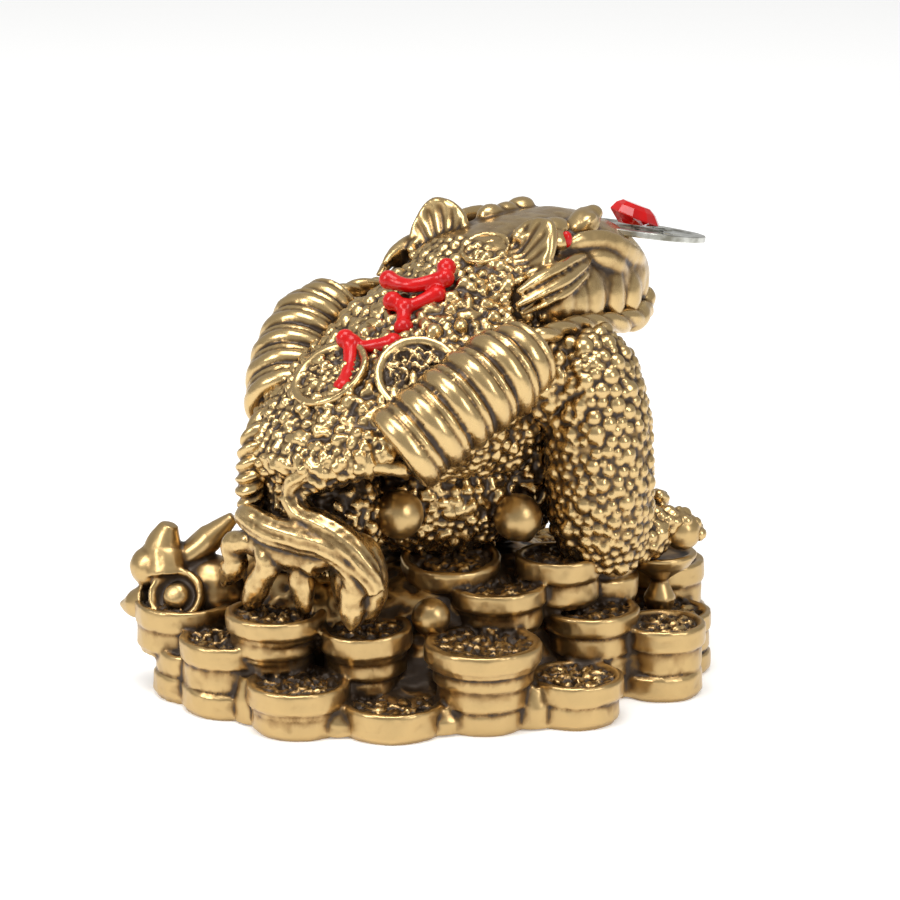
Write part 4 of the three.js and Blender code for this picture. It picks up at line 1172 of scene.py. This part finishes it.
def gemStone():
    # a pavilion, a girdle and a crown, drawn up ring by ring from the gem's foot, and leaning above the foot
    radius, height = mouth["gem"] / 2, mouth["gemHeight"]
    deselectAll()
    bpy.ops.mesh.primitive_circle_add(vertices=mouth["gemSides"], radius=gemRings[0][0] * radius * mm,
                                      fill_type="NGON")
    gem = bpy.context.object
    bpy.ops.object.mode_set(mode="EDIT")
    bpy.ops.mesh.select_all(action="SELECT")
    bpy.ops.mesh.normals_make_consistent(inside=True)
    for (share, level), (newShare, newLevel) in zip(gemRings, gemRings[1:]):
        rise = (newLevel - level) * height * mm
        bpy.ops.mesh.extrude_region_move(TRANSFORM_OT_translate={"value": (0, 0, rise)})
        bpy.ops.transform.resize(value=(newShare / share, newShare / share, 1), center_override=(0, 0, 0))
    bpy.ops.mesh.select_all(action="SELECT")
    bpy.ops.mesh.normals_make_consistent(inside=False)
    bpy.ops.object.mode_set(mode="OBJECT")
    for vertex in gem.data.vertices:
        lean = math.tan(math.radians(mouth["gemLean"])) * min(1, vertex.co.z / (gemRings[1][1] * height * mm))
        vertex.co.z += (vertex.co.x + vertex.co.y) * 0.707 * lean
    gem.name = "gemStone"
    gem.data.name = "gemStone"
    return inCoinPlane(gem, mouth["gemGap"])


coin = looseCoin()
coin.data.materials.clear()
coin.data.materials.append(palePlate())
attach(coin, "root")
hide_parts("mouth_coin")
gem = gemStone()
gem.data.materials.clear()
gem.data.materials.append(redGem())
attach(gem, "root")
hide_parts("coin_gem")
report("coin and gem")


photoView = {"lens": 162.2, "eye": (-351.7, 348.2, 162.2), "target": (3.5, -7.0, 27.6)}
camera = bpy.data.objects.new("camera", bpy.data.cameras.new("camera"))
bpy.context.scene.collection.objects.link(camera)
camera.data.sensor_width = 36
camera.data.sensor_fit = "HORIZONTAL"
camera.data.lens = photoView["lens"]
camera.data.clip_start = 0.01
eye, target = Vector(photoView["eye"]) * mm, Vector(photoView["target"]) * mm
camera.location = eye
camera.rotation_euler = (target - eye).to_track_quat("-Z", "Y").to_euler()
bpy.context.scene.camera = camera


# place and size in metres, and power in watts
lights = {
    "topSoftbox": ((-0.05, 0.1, 0.7), (0.4, 0.4), 3.4),
    "leftSoftbox": ((0.15, 0.6, 0.45), (0.2, 0.35), 2.2),
    "rightSoftbox": ((-0.6, 0.0, 0.35), (0.15, 0.35), 1.3),
}
for name, (place, size, power) in lights.items():
    light = bpy.data.lights.new(name, "AREA")
    light.shape = "RECTANGLE"
    light.size, light.size_y = size
    light.energy = power
    lamp = bpy.data.objects.new(name, light)
    bpy.context.scene.collection.objects.link(lamp)
    lamp.location = place
    lamp.rotation_euler = (Vector((0, 0, 0.03)) - Vector(place)).to_track_quat("-Z", "Y").to_euler()


studio = {"sky": 0.5, "paper": (0.93, 0.93, 0.92, 1), "paperRoughness": 0.6, "paperGlow": 0.22}
world = bpy.data.worlds.new("studio")
bpy.context.scene.world = world
world.use_nodes = True
sky = world.node_tree.nodes["Background"]
sky.inputs["Color"].default_value = (1, 1, 1, 1)
sky.inputs["Strength"].default_value = studio["sky"]

deselectAll()
bpy.ops.mesh.primitive_plane_add(size=6, location=(0, 0, 0))
floor = bpy.context.object
floor.name = "floor"
paper, _, paperShader = newPaint("paper")
paperShader.inputs["Base Color"].default_value = studio["paper"]
paperShader.inputs["Roughness"].default_value = studio["paperRoughness"]
paperShader.inputs["Emission Color"].default_value = (1, 1, 1, 1)
paperShader.inputs["Emission Strength"].default_value = studio["paperGlow"]
floor.data.materials.append(paper)
bpy.context.scene.view_settings.view_transform = "Standard"
bpy.context.scene.view_settings.look = "None"

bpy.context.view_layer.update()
report("scene done")
